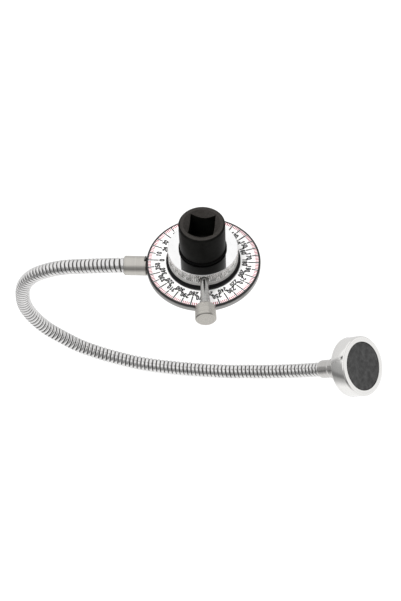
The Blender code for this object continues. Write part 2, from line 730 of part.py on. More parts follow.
def smooth_route(points):
    """Points along one smooth curve through the given ones, with their distance along it."""
    count = len(points)
    spans = [(b - a).length for a, b in zip(points, points[1:])]
    slopes = [(b - a) / span for a, b, span in zip(points, points[1:], spans)]
    tangents = [slopes[0]]
    for i in range(1, count - 1):
        before, after = spans[i - 1], spans[i]
        tangents.append((slopes[i - 1] * after + slopes[i] * before) / (before + after))
    tangents.append(slopes[-1])
    fine = [points[0]]
    for i, span in enumerate(spans):
        for step in range(1, CURVE_STEPS + 1):
            t = step / CURVE_STEPS
            h1 = 2 * t ** 3 - 3 * t ** 2 + 1
            h2 = t ** 3 - 2 * t ** 2 + t
            h3 = 3 * t ** 2 - 2 * t ** 3
            h4 = t ** 3 - t ** 2
            fine.append(points[i] * h1 + tangents[i] * (h2 * span) + points[i + 1] * h3
                        + tangents[i + 1] * (h4 * span))
    lengths = [0.0]
    for a, b in zip(fine, fine[1:]):
        lengths.append(lengths[-1] + (b - a).length)
    return fine, lengths


class Route:
    """The arm's centre line, read by distance along it."""

    def __init__(self, points):
        self.points, self.lengths = smooth_route(points)
        self.length = self.lengths[-1]

    def at(self, distance):
        last = len(self.lengths) - 2
        i = 0
        while i < last and self.lengths[i + 1] < distance:
            i += 1
        a, b = self.points[i], self.points[i + 1]
        return a + (b - a) * ((distance - self.lengths[i]) / (self.lengths[i + 1] - self.lengths[i]))

    def direction(self, distance):
        step = NECK_LEAD
        low = max(0.0, distance - step)
        high = min(self.length, distance + step)
        return (self.at(high) - self.at(low)).normalized()


def bend_places(route):
    """Distances along the arm of the middles of the gaps between its sections."""
    return [route.length * index / SECTIONS for index in range(1, SECTIONS)]


def bend_axes(route):
    """Each bend's axis: across the loop's plane and in it by turns, square to the arm."""
    quarter, half, rest = (route.at(route.length * index / 4) for index in (1, 2, 3))
    across = (half - quarter).cross(rest - half).normalized()
    axes = []
    for index, place in enumerate(bend_places(route)):
        direction = route.direction(place)
        in_plane = direction.cross(across).normalized()
        axes.append(in_plane.cross(direction).normalized() if index % 2 == 0 else in_plane)
    return axes


def make_gooseneck(route):
    stops = [0.0] + bend_places(route) + [route.length]
    groove_r = TUBE_R - GROOVE_DEPTH
    sections = []
    for index in range(SECTIONS):
        low = stops[index] + (BEND_GAP / 2 if index > 0 else 0.0)
        high = stops[index + 1] - (BEND_GAP / 2 if index < SECTIONS - 1 else 0.0)
        ribs = round((high - low - 2 * NECK_LEAD) / RIB_PITCH)
        pitch = (high - low - 2 * NECK_LEAD) / ribs
        places = [low]
        radii = [NECK_R]
        for rib in range(ribs):
            start = low + NECK_LEAD + rib * pitch
            places += [start, start + pitch / 2]
            radii += [groove_r, TUBE_R]
        places += [high - NECK_LEAD, high]
        radii += [groove_r, NECK_R]
        name = f"gooseneck_{index + 1}"
        mesh = tube_mesh(name, [route.at(place) for place in places], radii, 2)
        section = link_part(name, mesh, CHROMED_STEEL)

        count = max(2, round((high - low) / BORE_STEP))
        bore = [route.at(low + (high - low) * step / count) for step in range(count + 1)]
        bore.insert(0, bore[0] - route.direction(low) * OVERRUN)
        bore.append(bore[-1] + route.direction(high) * OVERRUN)
        cutter = link_cutter(name + "_bore",
                             tube_mesh(name + "_bore", bore, [TUBE_BORE_R] * len(bore), 2))
        if index > 0:
            hinge = route.at(stops[index])
            section.data.transform(Matrix.Translation(-hinge))
            section.location = hinge
        cut(section, cutter)
        sections.append(section)
    return sections


def make_magnet(end, carrier):
    place = frame_at(end, MAGNET_AXIS)
    points = [
        (0, STUD_STOP),
        (STUD_BORE_R, STUD_STOP),
        (STUD_BORE_R, BOSS_END),
        (BOSS_R, BOSS_END),
        (BOSS_R, MAGNET_FERRULE_LENGTH + BOSS_FLARE),
        (FERRULE_R, MAGNET_FERRULE_LENGTH),
    ]
    for step in range(NOSE_STEPS + 1):
        angle = math.pi / 2 * (1 - step / NOSE_STEPS)
        radius = FERRULE_LIP_R + (FERRULE_R - FERRULE_LIP_R) * math.sin(angle)
        points.append((radius, NOSE_LENGTH * (1 - math.cos(angle))))
    points += [(FERRULE_BORE_R, 0), (FERRULE_BORE_R, TUBE_STOP), (0, TUBE_STOP)]
    ferrule = turned("magnet_ferrule", points, FERRULE_SIDES, SATIN_STEEL, closed=False, place=place)
    stud_points = [(0, STUD_END), (STUD_R, STUD_END), (STUD_R, STUD_START), (0, STUD_START)]
    stud = turned("magnet_stud", stud_points, SMALL_SIDES, BRIGHT_STEEL, closed=False, place=place)
    pot_points = [
        (0, POT_FLOOR),
        (POT_R - POT_RIM, POT_FLOOR),
        (POT_R - POT_RIM, POT_END),
        (POT_R - POT_EDGE, POT_END),
        (POT_R, POT_END - POT_EDGE),
        (POT_R, POT_START + POT_EDGE),
        (POT_R - POT_EDGE, POT_START),
        (STUD_BORE_R, POT_START),
        (STUD_BORE_R, STUD_END + GAP),
        (0, STUD_END + GAP),
    ]
    pot = turned("magnet_pot", pot_points, RING_SIDES, NICKELLED_STEEL, closed=False, place=place)
    disc_points = [(0, MAGNET_END), (MAGNET_R, MAGNET_END), (MAGNET_R, MAGNET_START), (0, MAGNET_START)]
    disc = turned("magnet_disc", disc_points, RING_SIDES, FERRITE, closed=False, place=place)
    for piece in (ferrule, stud, pot, disc):
        hang_on(piece, carrier)


def main():
    make_spindle()
    make_detent()
    make_dial()
    make_circlip()
    make_ring()
    make_thumb_screw()
    make_arm_fixing(joint_empty("dial_axis", Vector((0, 0, DIAL_TOP))))
    points, end = arm_points()
    route = Route(points)
    make_gooseneck(route)
    last_bend = route.at(bend_places(route)[-1])
    make_magnet(end, joint_empty("last_bend", last_bend))
    print("arm length, mm:", round(route.length / MM, 1))


main()
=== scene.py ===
# Looks of the torque angle gauge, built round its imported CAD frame.
# Metres, +Z up along the drive axis; the viewer's side is -Y and the arm leaves the dial at -X.

import math

import bmesh
import bpy
import numpy as np
from mathutils import Matrix, Vector


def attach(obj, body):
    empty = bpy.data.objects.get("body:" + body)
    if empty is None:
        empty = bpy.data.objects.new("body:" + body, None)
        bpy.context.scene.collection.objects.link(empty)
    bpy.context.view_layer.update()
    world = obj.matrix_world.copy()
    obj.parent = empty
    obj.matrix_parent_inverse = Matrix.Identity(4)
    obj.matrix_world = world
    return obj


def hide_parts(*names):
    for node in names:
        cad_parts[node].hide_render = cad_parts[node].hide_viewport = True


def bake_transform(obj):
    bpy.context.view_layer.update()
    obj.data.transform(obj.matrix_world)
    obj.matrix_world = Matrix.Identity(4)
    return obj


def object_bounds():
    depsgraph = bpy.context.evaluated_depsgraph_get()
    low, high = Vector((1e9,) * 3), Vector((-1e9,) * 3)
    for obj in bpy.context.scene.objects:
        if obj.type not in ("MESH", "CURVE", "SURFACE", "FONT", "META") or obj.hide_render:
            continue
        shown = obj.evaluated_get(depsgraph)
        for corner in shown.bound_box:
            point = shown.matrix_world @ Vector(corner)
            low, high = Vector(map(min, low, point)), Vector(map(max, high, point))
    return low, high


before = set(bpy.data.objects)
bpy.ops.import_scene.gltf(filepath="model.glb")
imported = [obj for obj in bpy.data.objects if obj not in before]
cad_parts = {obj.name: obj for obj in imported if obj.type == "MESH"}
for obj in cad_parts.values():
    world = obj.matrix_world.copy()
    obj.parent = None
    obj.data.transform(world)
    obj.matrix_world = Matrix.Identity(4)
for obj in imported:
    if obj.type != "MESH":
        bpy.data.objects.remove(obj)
CAD_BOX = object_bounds()

MM = 0.001
MERGE = 0.002 * MM
GAP = 0.3 * MM
# The widest pieces are smaller by this, since they have more sides than the CAD's and would
# stand out of its box
SHAVING = 0.015 * MM
OVERRUN = 1.0 * MM
UP = Vector((0, 0, 1))

# ---------------------------------------------------------------- sizes, as in the part's source

SQUARE = 12.7 * MM
SQUARE_LENGTH = 16.0 * MM
SQUARE_TURN = math.radians(-8.5)
SQUARE_EDGE = 0.7 * MM
SQUARE_LEAD = 1.0 * MM
SPINDLE_R = 11.95 * MM
SPINDLE_TOP = 57.5 * MM
SPINDLE_EDGE = 0.8 * MM
SHOULDER_EDGE = 1.6 * MM
SOCKET = 12.9 * MM
SOCKET_DEPTH = 16.5 * MM
SOCKET_LEAD_R = 9.5 * MM
SOCKET_DRILL_R = 5.6 * MM
SOCKET_DRILL_DEPTH = 3.0 * MM
BALL_R = 2.5 * MM
BALL_PROUD = 1.2 * MM
BALL_HEIGHT = 7.0 * MM
DETENT_DEPTH = 8.5 * MM
CLIP_GROOVE_R = 10.85 * MM
CLIP_R = 14.45 * MM
CLIP_INNER_R = 11.15 * MM
CIRCLIP_TOP = 20.4 * MM
CIRCLIP_BOTTOM = 19.2 * MM
CIRCLIP_OPENING = 7.0 * MM
O_RING_R = 12.0 * MM
O_RING_SECTION_R = 0.6 * MM
O_RING_HEIGHT = 39.1 * MM
O_RING_GROOVE_R = 11.1 * MM

DIAL_TOP = 27.0 * MM
DIAL_R = 30.2 * MM
DIAL_BORE_R = 14.75 * MM
PLATE_BOTTOM = 26.2 * MM
BASE_TOP = 25.9 * MM
BASE_BOTTOM = 23.1 * MM
SPINDLE_BORE_R = 12.25 * MM
BUSH_R = 14.45 * MM
FLANGE_R = 16.45 * MM
FLANGE_TOP = 22.8 * MM
FLANGE_BOTTOM = 21.8 * MM
WASHER_TOP = 21.5 * MM
WASHER_BOTTOM = 20.7 * MM

COLLAR_R = 19.65 * MM
COLLAR_TOP_R = 18.8 * MM
COLLAR_BOTTOM = 27.3 * MM
COLLAR_FLANGE_TOP = 28.7 * MM
COLLAR_TOP = 29.7 * MM
RING_R = 18.45 * MM
RING_FOOT_R = 18.4 * MM
RING_BOTTOM = 29.85 * MM
RING_FOOT_TOP = 32.2 * MM
RING_TOP = 38.2 * MM
RING_EDGE = 0.4 * MM
RING_STEP = 0.02 * MM
KNURL_TEETH = 130
KNURL_DEPTH = 0.32 * MM

ROD_R = 2.25 * MM
ROD_HOLE_R = 2.55 * MM
ROD_START = 14.05 * MM
ROD_END = 39.4 * MM
ROD_HEIGHT = 34.25 * MM
KNOB_R = 5.35 * MM
KNOB_START = 35.4 * MM
KNOB_END = 43.2 * MM
KNOB_EDGE = 0.5 * MM
COUNTERSINK = 0.4 * MM

ARM_HEIGHT = 21.9 * MM
ARM_TURN = math.radians(175.0)
ARM_OUT = Vector((math.cos(ARM_TURN), math.sin(ARM_TURN), 0))
TONGUE_TOP = 20.9 * MM
TONGUE_START = 19.5 * MM
FERRULE_START = 30.5 * MM
FERRULE_END = 42.4 * MM
FERRULE_R = 5.2 * MM
FERRULE_BORE_R = 4.5 * MM
FERRULE_LIP_R = 4.6 * MM
FERRULE_EDGE = 0.6 * MM
BRACKET_BOTTOM = 21.2 * MM
BRACKET_TOP = 22.8 * MM
BRACKET_END = 29.0 * MM
LUG_END = 31.1 * MM
LUG_TO = 0.6 * MM
SCREW_PLACES = (21.9 * MM, 28.1 * MM)
SCREW_R = 1.5 * MM
SCREW_HEAD_R = 2.6 * MM
SCREW_HEAD_HEIGHT = 1.4 * MM
SCREW_HEAD_EDGE = 0.4 * MM
SCREW_HEAD_EDGE_HEIGHT = 0.5 * MM
SCREW_SINK = 1.8 * MM
SCREW_BITE = 1.9 * MM
SLOT_WIDTH = 0.7 * MM
SLOT_DEPTH = 0.6 * MM

TUBE_SEAT = 7.0 * MM
STRAIGHT_RUN = 1.0 * MM
BAND_PITCH = 2.45 * MM
ARM_LENGTH = 300.0 * MM
SECTIONS = 7
MAGNET_AXIS = Vector((0.663, -0.387, 0.641)).normalized()
MAGNET_FERRULE_LENGTH = 7.5 * MM
NOSE_LENGTH = 1.3 * MM
BOSS_R = 6.0 * MM
BOSS_FLARE = 1.6 * MM
BOSS_END = 21.2 * MM
POT_R = 16.8 * MM
POT_START = 21.5 * MM
POT_END = 31.0 * MM
POT_EDGE = 0.6 * MM
POT_RIM = 3.2 * MM
DISC_R = 13.3 * MM
DISC_START = 24.9 * MM
DISC_END = 30.9 * MM
STUD_R = 2.5 * MM
STUD_START = 13.5 * MM
STUD_END = 23.5 * MM

# Route of the arm from the ferrule's mouth to the magnet ferrule's, as shares of ARM_LENGTH
ROUTE_SHARES = [
    (-0.0385, 0.0083, -0.0085), (-0.0762, 0.0183, -0.0203), (-0.1129, 0.0283, -0.0333),
    (-0.1472, 0.0373, -0.0520), (-0.1769, 0.0460, -0.0774), (-0.1979, 0.0533, -0.1112),
    (-0.2075, 0.0583, -0.1498), (-0.2085, 0.0613, -0.1896), (-0.1972, 0.0617, -0.2283),
    (-0.1769, 0.0593, -0.2623), (-0.1485, 0.0547, -0.2900), (-0.1179, 0.0493, -0.3144),
    (-0.0822, 0.0423, -0.3310), (-0.0449, 0.0347, -0.3419), (-0.0065, 0.0263, -0.3495),
    (0.0325, 0.0173, -0.3509), (0.0711, 0.0083, -0.3486), (0.1101, -0.0010, -0.3442),
    (0.1485, -0.0103, -0.3378), (0.1861, -0.0200, -0.3288), (0.2226, -0.0275, -0.3203),
    (0.2588, -0.0366, -0.3098), (0.2927, -0.0460, -0.2965), (0.3259, -0.0564, -0.2808),
    (0.3446, -0.0638, -0.2689), (0.3596, -0.0711, -0.2569),
]

# ---------------------------------------------------------------- camera


def place_camera():
    """A camera where the photograph was taken from: 51 degrees above the dial, leaning left."""
    camera = bpy.data.objects.new("camera", bpy.data.cameras.new("camera"))
    bpy.context.scene.collection.objects.link(camera)
    right = Vector((0.99899, -0.03344, -0.02999))
    down = Vector((-0.04474, -0.80043, -0.59776))
    forward = Vector((-0.00402, 0.59850, -0.80111))
    turn = Matrix((right, -down, -forward)).transposed().to_4x4()
    camera.matrix_world = Matrix.Translation((0, -376.93 * MM, 497.07 * MM)) @ turn
    camera.data.lens = 68.35
    camera.data.sensor_width = 36.0
    camera.data.clip_start = 0.01
    camera.data.clip_end = 50.0
    bpy.context.scene.camera = camera


# ---------------------------------------------------------------- helpers for materials


def colour(code):
    """Linear RGBA of an sRGB hex colour."""
    parts = [int(code[i:i + 2], 16) / 255 for i in (1, 3, 5)]
    return [c / 12.92 if c <= 0.04045 else ((c + 0.055) / 1.055) ** 2.4 for c in parts] + [1.0]


def add(tree, kind, inputs=None, **settings):
    """A node with its settings, and with each named input set to a value or linked to a socket."""
    node = tree.nodes.new(kind)
    for name, value in settings.items():
        setattr(node, name, value)
    for name, value in (inputs or {}).items():
        if isinstance(value, bpy.types.NodeSocket):
            tree.links.new(value, node.inputs[name])
        else:
            node.inputs[name].default_value = value
    return node


def start_finish(name, place=None, **values):
    """A material with the shader's plain values, and coordinates measured from a piece's axis."""
    made = bpy.data.materials.new(name)
    made.use_nodes = True
    tree = made.node_tree
    shader = tree.nodes["Principled BSDF"]
    for key, value in values.items():
        shader.inputs[key.replace("_", " ")].default_value = value
    spot = add(tree, "ShaderNodeTexCoord").outputs["Object"]
    if place is not None:
        turned_spot = add(tree, "ShaderNodeMapping", {
            "Vector": spot,
            "Location": place.to_translation(),
            "Rotation": place.to_euler(),
        }, vector_type="TEXTURE")
        spot = turned_spot.outputs["Vector"]
    return made, tree, shader, spot


def two_tones(tree, shader, factor, low, high, start=0.0, end=1.0):
    """Base colour that runs from one tone to the other as the factor runs from start to end."""
    ramp = add(tree, "ShaderNodeValToRGB", {"Fac": factor})
    ramp.color_ramp.elements[0].position = start
    ramp.color_ramp.elements[0].color = colour(low)
    ramp.color_ramp.elements[1].position = end
    ramp.color_ramp.elements[1].color = colour(high)
    tree.links.new(ramp.outputs["Color"], shader.inputs["Base Color"])


def vary_roughness(tree, shader, factor, low, high):
    spread = add(tree, "ShaderNodeMapRange", {"Value": factor, "To Min": low, "To Max": high})
    tree.links.new(spread.outputs["Result"], shader.inputs["Roughness"])


def emboss(tree, shader, height, depth, strength=1.0):
    bump = add(tree, "ShaderNodeBump", {"Height": height, "Distance": depth, "Strength": strength})
    tree.links.new(bump.outputs["Normal"], shader.inputs["Normal"])


def grain(tree, spot, size, detail=2.0, roughness=0.5):
    """Noise whose blotches are about the given size across."""
    return add(tree, "ShaderNodeTexNoise", {
        "Vector": spot, "Scale": 1.0 / size, "Detail": detail, "Roughness": roughness,
    }).outputs["Fac"]


def tool_marks(tree, spot, spacing):
    """Fine rings about the local Z axis, as a lathe tool leaves them: noise over radius and height."""
    parts = add(tree, "ShaderNodeSeparateXYZ", {"Vector": spot}).outputs
    flat = add(tree, "ShaderNodeCombineXYZ", {"X": parts["X"], "Y": parts["Y"]}).outputs["Vector"]
    radius = add(tree, "ShaderNodeVectorMath", {0: flat}, operation="LENGTH").outputs["Value"]
    rings = add(tree, "ShaderNodeCombineXYZ", {"X": radius, "Y": parts["Z"]}).outputs["Vector"]
    return grain(tree, rings, spacing, 1.0)


def axis_frame(origin, direction):
    """Matrix that puts local +Z along the direction and the local origin at the point."""
    return Matrix.Translation(origin) @ direction.to_track_quat("Z", "Y").to_matrix().to_4x4()


# ---------------------------------------------------------------- route of the arm


def arm_points():
    mouth = ARM_OUT * FERRULE_END + UP * ARM_HEIGHT
    free = [mouth + Vector(share) * ARM_LENGTH for share in ROUTE_SHARES]
    end = free[-1]
    start_run = [mouth - ARM_OUT * TUBE_SEAT, mouth, mouth + ARM_OUT * STRAIGHT_RUN]
    end_run = [end - MAGNET_AXIS * STRAIGHT_RUN, end, end + MAGNET_AXIS * TUBE_SEAT]
    return start_run + free[:-1] + end_run, end


ARM_POINTS, ARM_END = arm_points()
SCREW_FRAME = axis_frame(UP * ROD_HEIGHT, Vector((0, -1, 0)))
FERRULE_FRAME = axis_frame(UP * ARM_HEIGHT, ARM_OUT)
MAGNET_FRAME = axis_frame(ARM_END, MAGNET_AXIS)
DETENT_OUT = Vector((math.sin(SQUARE_TURN), -math.cos(SQUARE_TURN), 0))

# ---------------------------------------------------------------- materials


def oxide_steel():
    """Black-oxide tool steel: oiled near-black crust on a ground surface, which gives a soft,
    slightly green-brown sheen and a faint grain."""
    made, tree, shader, spot = start_finish("black_oxide_steel", Roughness=0.34, IOR=1.13)
    blotches = grain(tree, spot, 2.5 * MM, 4.0)
    two_tones(tree, shader, blotches, "#0a0a09", "#11110f", 0.35, 0.7)
    vary_roughness(tree, shader, grain(tree, spot, 0.7 * MM), 0.30, 0.44)
    emboss(tree, shader, grain(tree, spot, 0.25 * MM), 0.01 * MM, 0.5)
    return made


def worn_oxide_edge():
    """Black oxide in a lighter grey on the socket's up-facing mouth and bowl: painted light on top
    faces.
    """
    made, tree, shader, spot = start_finish("oxide_steel_painted_top_light", Roughness=0.5, IOR=1.25)
    two_tones(tree, shader, grain(tree, spot, 0.9 * MM, 4.0), "#262422", "#322f2d", 0.3, 0.7)
    emboss(tree, shader, tool_marks(tree, spot, 0.25 * MM), 0.01 * MM, 0.6)
    return made


def turned_metal(name, dark, light, rough, spacing, place=None, depth=0.004):
    """Bare metal straight from the lathe: bright, with fine rings about its axis. The real rings
    lie 0.1 mm apart and are drawn coarser so that they show."""
    made, tree, shader, spot = start_finish(name, place, Metallic=1.0)
    rings = tool_marks(tree, spot, spacing)
    two_tones(tree, shader, rings, dark, light, 0.25, 0.75)
    vary_roughness(tree, shader, grain(tree, spot, 3.0 * MM, 3.0), rough - 0.04, rough + 0.05)
    emboss(tree, shader, rings, depth * MM)
    return made


def polished_aluminium():
    """Aluminium buffed to a mirror on the ring's top, with a trace of polishing haze."""
    made, tree, shader, spot = start_finish("polished_aluminium", Metallic=1.0)
    two_tones(tree, shader, grain(tree, spot, 6.0 * MM, 3.0), "#f7f7f7", "#fdfdfd", 0.3, 0.7)
    vary_roughness(tree, shader, tool_marks(tree, spot, 0.4 * MM), 0.03, 0.07)
    return made


def blasted_aluminium():
    """Bead-blasted aluminium on the ring's foot: dull and grey, it takes soft light evenly."""
    made, tree, shader, spot = start_finish("blasted_aluminium", Metallic=0.35, Roughness=0.6)
    pits = grain(tree, spot, 0.3 * MM, 3.0)
    two_tones(tree, shader, pits, "#a5a4a2", "#bab9b7", 0.3, 0.7)
    emboss(tree, shader, pits, 0.01 * MM, 0.5)
    return made


def chromed_wire():
    """Chrome-plated spring wire: hard bright bands with faint smudges of handling."""
    made, tree, shader, spot = start_finish("chromed_steel", Metallic=1.0)
    two_tones(tree, shader, grain(tree, spot, 5.0 * MM, 4.0), "#dcdbdb", "#eeedec", 0.3, 0.7)
    vary_roughness(tree, shader, grain(tree, spot, 2.0 * MM, 4.0), 0.12, 0.2)
    return made


def groove_grime():
    """Painted shade on the floor of the winding's groove: darker steel that stands for the shade
    between the wire's turns.
    """
    made, tree, shader, spot = start_finish("groove_grime", Metallic=0.5, Roughness=0.5, IOR=1.4)
    two_tones(tree, shader, grain(tree, spot, 2.0 * MM, 3.0), "#343331", "#4c4a47", 0.3, 0.7)
    return made


def white_print():
    """White screen print on an aluminium plate: even, semi-matt, with a very slight tooth."""
    made, tree, shader, spot = start_finish("printed_white", Roughness=0.42)
    two_tones(tree, shader, grain(tree, spot, 4.0 * MM, 4.0), "#f4f3f2", "#faf9f9", 0.3, 0.7)
    vary_roughness(tree, shader, grain(tree, spot, 0.8 * MM), 0.36, 0.48)
    emboss(tree, shader, grain(tree, spot, 0.3 * MM), 0.003 * MM, 0.5)
    return made


def printing_ink(name, dark, light):
    """Screen-printing ink: a flat film with a slightly uneven tone."""
    made, tree, shader, spot = start_finish(name, Roughness=0.5)
    two_tones(tree, shader, grain(tree, spot, 0.6 * MM, 3.0), dark, light, 0.3, 0.7)
    return made


def moulded_nylon():
    """Injection-moulded black nylon: dull, with the tooth of a spark-eroded mould."""
    made, tree, shader, spot = start_finish("black_nylon", IOR=1.3)
    two_tones(tree, shader, grain(tree, spot, 2.0 * MM, 3.0), "#0b0b0c", "#131314", 0.3, 0.7)
    vary_roughness(tree, shader, grain(tree, spot, 1.0 * MM), 0.42, 0.55)
    emboss(tree, shader, grain(tree, spot, 0.2 * MM), 0.01 * MM, 0.6)
    return made


def nitrile_rubber():
    """Nitrile O-ring rubber: matt black with a slight bloom."""
    made, tree, shader, spot = start_finish("black_rubber", Roughness=0.6, IOR=1.12)
    two_tones(tree, shader, grain(tree, spot, 1.0 * MM, 3.0), "#030303", "#080808", 0.3, 0.7)
    return made


def sintered_bronze():
    """Sintered bronze: warm brown metal with fine open pores."""
    made, tree, shader, spot = start_finish("bronze", Metallic=1.0, Roughness=0.42)
    pores = grain(tree, spot, 0.35 * MM, 3.0)
    two_tones(tree, shader, pores, "#7a5530", "#b98a52", 0.3, 0.6)
    emboss(tree, shader, pores, 0.02 * MM, 0.5)
    return made


def sintered_ferrite():
    """Sintered ferrite: dark grey ceramic, ground flat, with mottling and fine pits."""
    made, tree, shader, spot = start_finish("ferrite", MAGNET_FRAME, IOR=1.5)
    mottling = grain(tree, spot, 3.0 * MM, 6.0, 0.65)
    two_tones(tree, shader, mottling, "#202020", "#464646", 0.3, 0.7)
    vary_roughness(tree, shader, grain(tree, spot, 0.8 * MM), 0.6, 0.8)
    emboss(tree, shader, grain(tree, spot, 0.5 * MM, 4.0), 0.04 * MM, 0.7)
    return made


OXIDE = oxide_steel()
OXIDE_TOP_LIGHT = worn_oxide_edge()
ALUMINIUM = turned_metal("turned_aluminium", "#c3c2c0", "#dededc", 0.24, 0.3 * MM)
RIM = turned_metal("turned_aluminium_rim", "#8f8e8c", "#a3a2a0", 0.3, 0.3 * MM)
POLISHED = polished_aluminium()
BLASTED = blasted_aluminium()
BRIGHT = turned_metal("bright_steel", "#a3a2a0", "#bcbbb9", 0.16, 0.5 * MM, SCREW_FRAME, 0.002)
SPRING_STEEL = turned_metal("spring_steel", "#77787a", "#939496", 0.32, 0.3 * MM)
SATIN_KNOB = turned_metal("satin_steel_knob", "#b2afa9", "#c4c1bb", 0.26, 0.6 * MM, SCREW_FRAME, 0.003)
SATIN_FERRULE = turned_metal("satin_steel_ferrule", "#c2bfb9", "#cecbc5", 0.3, 0.6 * MM,
                             FERRULE_FRAME, 0.003)
SATIN_MAGNET = turned_metal("satin_steel_boss", "#c6c4c1", "#d8d6d4", 0.18, 0.6 * MM, MAGNET_FRAME,
                            0.003)
NICKEL = turned_metal("nickelled_steel", "#eae9e7", "#f6f5f3", 0.13, 0.5 * MM, MAGNET_FRAME, 0.002)
CHROME = chromed_wire()
GROOVE_SHADE = groove_grime()
WHITE_PRINT = white_print()
BLACK_INK = printing_ink("black_ink", "#141414", "#1f1f1f")
RED_INK = printing_ink("red_ink", "#9c4450", "#aa5460")
NYLON = moulded_nylon()
RUBBER = nitrile_rubber()
BRONZE = sintered_bronze()
FERRITE = sintered_ferrite()

# ---------------------------------------------------------------- helpers for shapes

PIECES = bpy.data.collections.new("torque_angle_gauge")
bpy.context.scene.collection.children.link(PIECES)


def mesh_object(name, form):
    mesh = bpy.data.meshes.new(name)
    form.to_mesh(mesh)
    form.free()
    made = bpy.data.objects.new(name, mesh)
    PIECES.objects.link(made)
    return made


def crisp(form, edge, least=math.radians(25.0)):
    """Breaks each edge sharper than the least angle with a small round."""
    sharp = [e for e in form.edges if e.is_manifold and e.calc_face_angle() > least]
    bmesh.ops.bevel(form, geom=sharp, offset=edge, offset_type="OFFSET", segments=2, profile=0.5,
                    affect="EDGES", clamp_overlap=True, material=-1)


def spun(points, steps, closed=False, edge=0.0, place=None):
    """A form turned from a section of (radius, height) points about local Z."""
    form = bmesh.new()
    corners = [form.verts.new((radius, 0, height)) for radius, height in points]
    lines = [form.edges.new(pair) for pair in zip(corners, corners[1:])]
    if closed:
        lines.append(form.edges.new((corners[-1], corners[0])))
    bmesh.ops.spin(form, geom=corners + lines, cent=(0, 0, 0), axis=(0, 0, 1), angle=math.tau,
                   steps=steps, use_merge=True)
    bmesh.ops.remove_doubles(form, verts=form.verts, dist=MERGE)
    bmesh.ops.recalc_face_normals(form, faces=form.faces)
    if edge:
        crisp(form, edge)
    if place is not None:
        bmesh.ops.transform(form, matrix=place, verts=form.verts)
    return form


def block(low, high, place=None, edge=0.0):
    """A box form between two corners."""
    low, high = Vector(low), Vector(high)
    form = bmesh.new()
    spot = Matrix.Translation((low + high) / 2) @ Matrix.Diagonal((*(high - low), 1.0))
    bmesh.ops.create_cube(form, size=1.0, matrix=spot)
    if edge:
        crisp(form, edge)
    if place is not None:
        bmesh.ops.transform(form, matrix=place, verts=form.verts)
    return form


def bar(radius, start, end, place, steps=48):
    """A plain round bar along local Z."""
    return spun([(0, end), (radius, end), (radius, start), (0, start)], steps, place=place)


def cut(item, form, operation="DIFFERENCE"):
    """Takes a form away from an object, or joins it on."""
    cutter = mesh_object("cutter", form)
    change = item.modifiers.new("cut", "BOOLEAN")
    change.operation = operation
    change.solver = "EXACT"
    change.object = cutter
    made = bpy.data.meshes.new_from_object(
        item.evaluated_get(bpy.context.evaluated_depsgraph_get()))
    item.modifiers.clear()
    item.data = made
    bpy.data.objects.remove(cutter, do_unlink=True)


def dress(item, finish, body, slot, *nodes, angle=20.0):
    """Shades a finished piece, gives it its finish and body, and lets it stand for CAD nodes."""
    mesh = item.data
    mesh.materials.clear()
    for one in finish if isinstance(finish, tuple) else (finish,):
        mesh.materials.append(one)
    mesh.shade_smooth()
    mesh.set_sharp_from_angle(angle=math.radians(angle))
    if body:
        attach(item, body)
    if nodes:
        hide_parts(*nodes)
    return item


def turned(name, points, steps, finish, body, slot, *nodes, closed=False, edge=0.05 * MM,
           place=None):
    return dress(mesh_object(name, spun(points, steps, closed, edge, place)), finish, body, slot,
                 *nodes)


# ---------------------------------------------------------------- drive spindle


def square_bar(side, low, high, edge):
    """A square bar along Z, turned with the drive, with its long edges broken."""
    form = block((-side / 2, -side / 2, low), (side / 2, side / 2, high))
    if edge:
        upright = [e for e in form.edges
                   if abs((e.verts[0].co - e.verts[1].co).normalized().z) > 0.9]
        bmesh.ops.bevel(form, geom=upright, offset=edge, offset_type="OFFSET", segments=3,
                        profile=0.5, affect="EDGES", clamp_overlap=True, material=-1)
    bmesh.ops.rotate(form, verts=form.verts, cent=(0, 0, 0),
                     matrix=Matrix.Rotation(SQUARE_TURN, 3, "Z"))
    return form


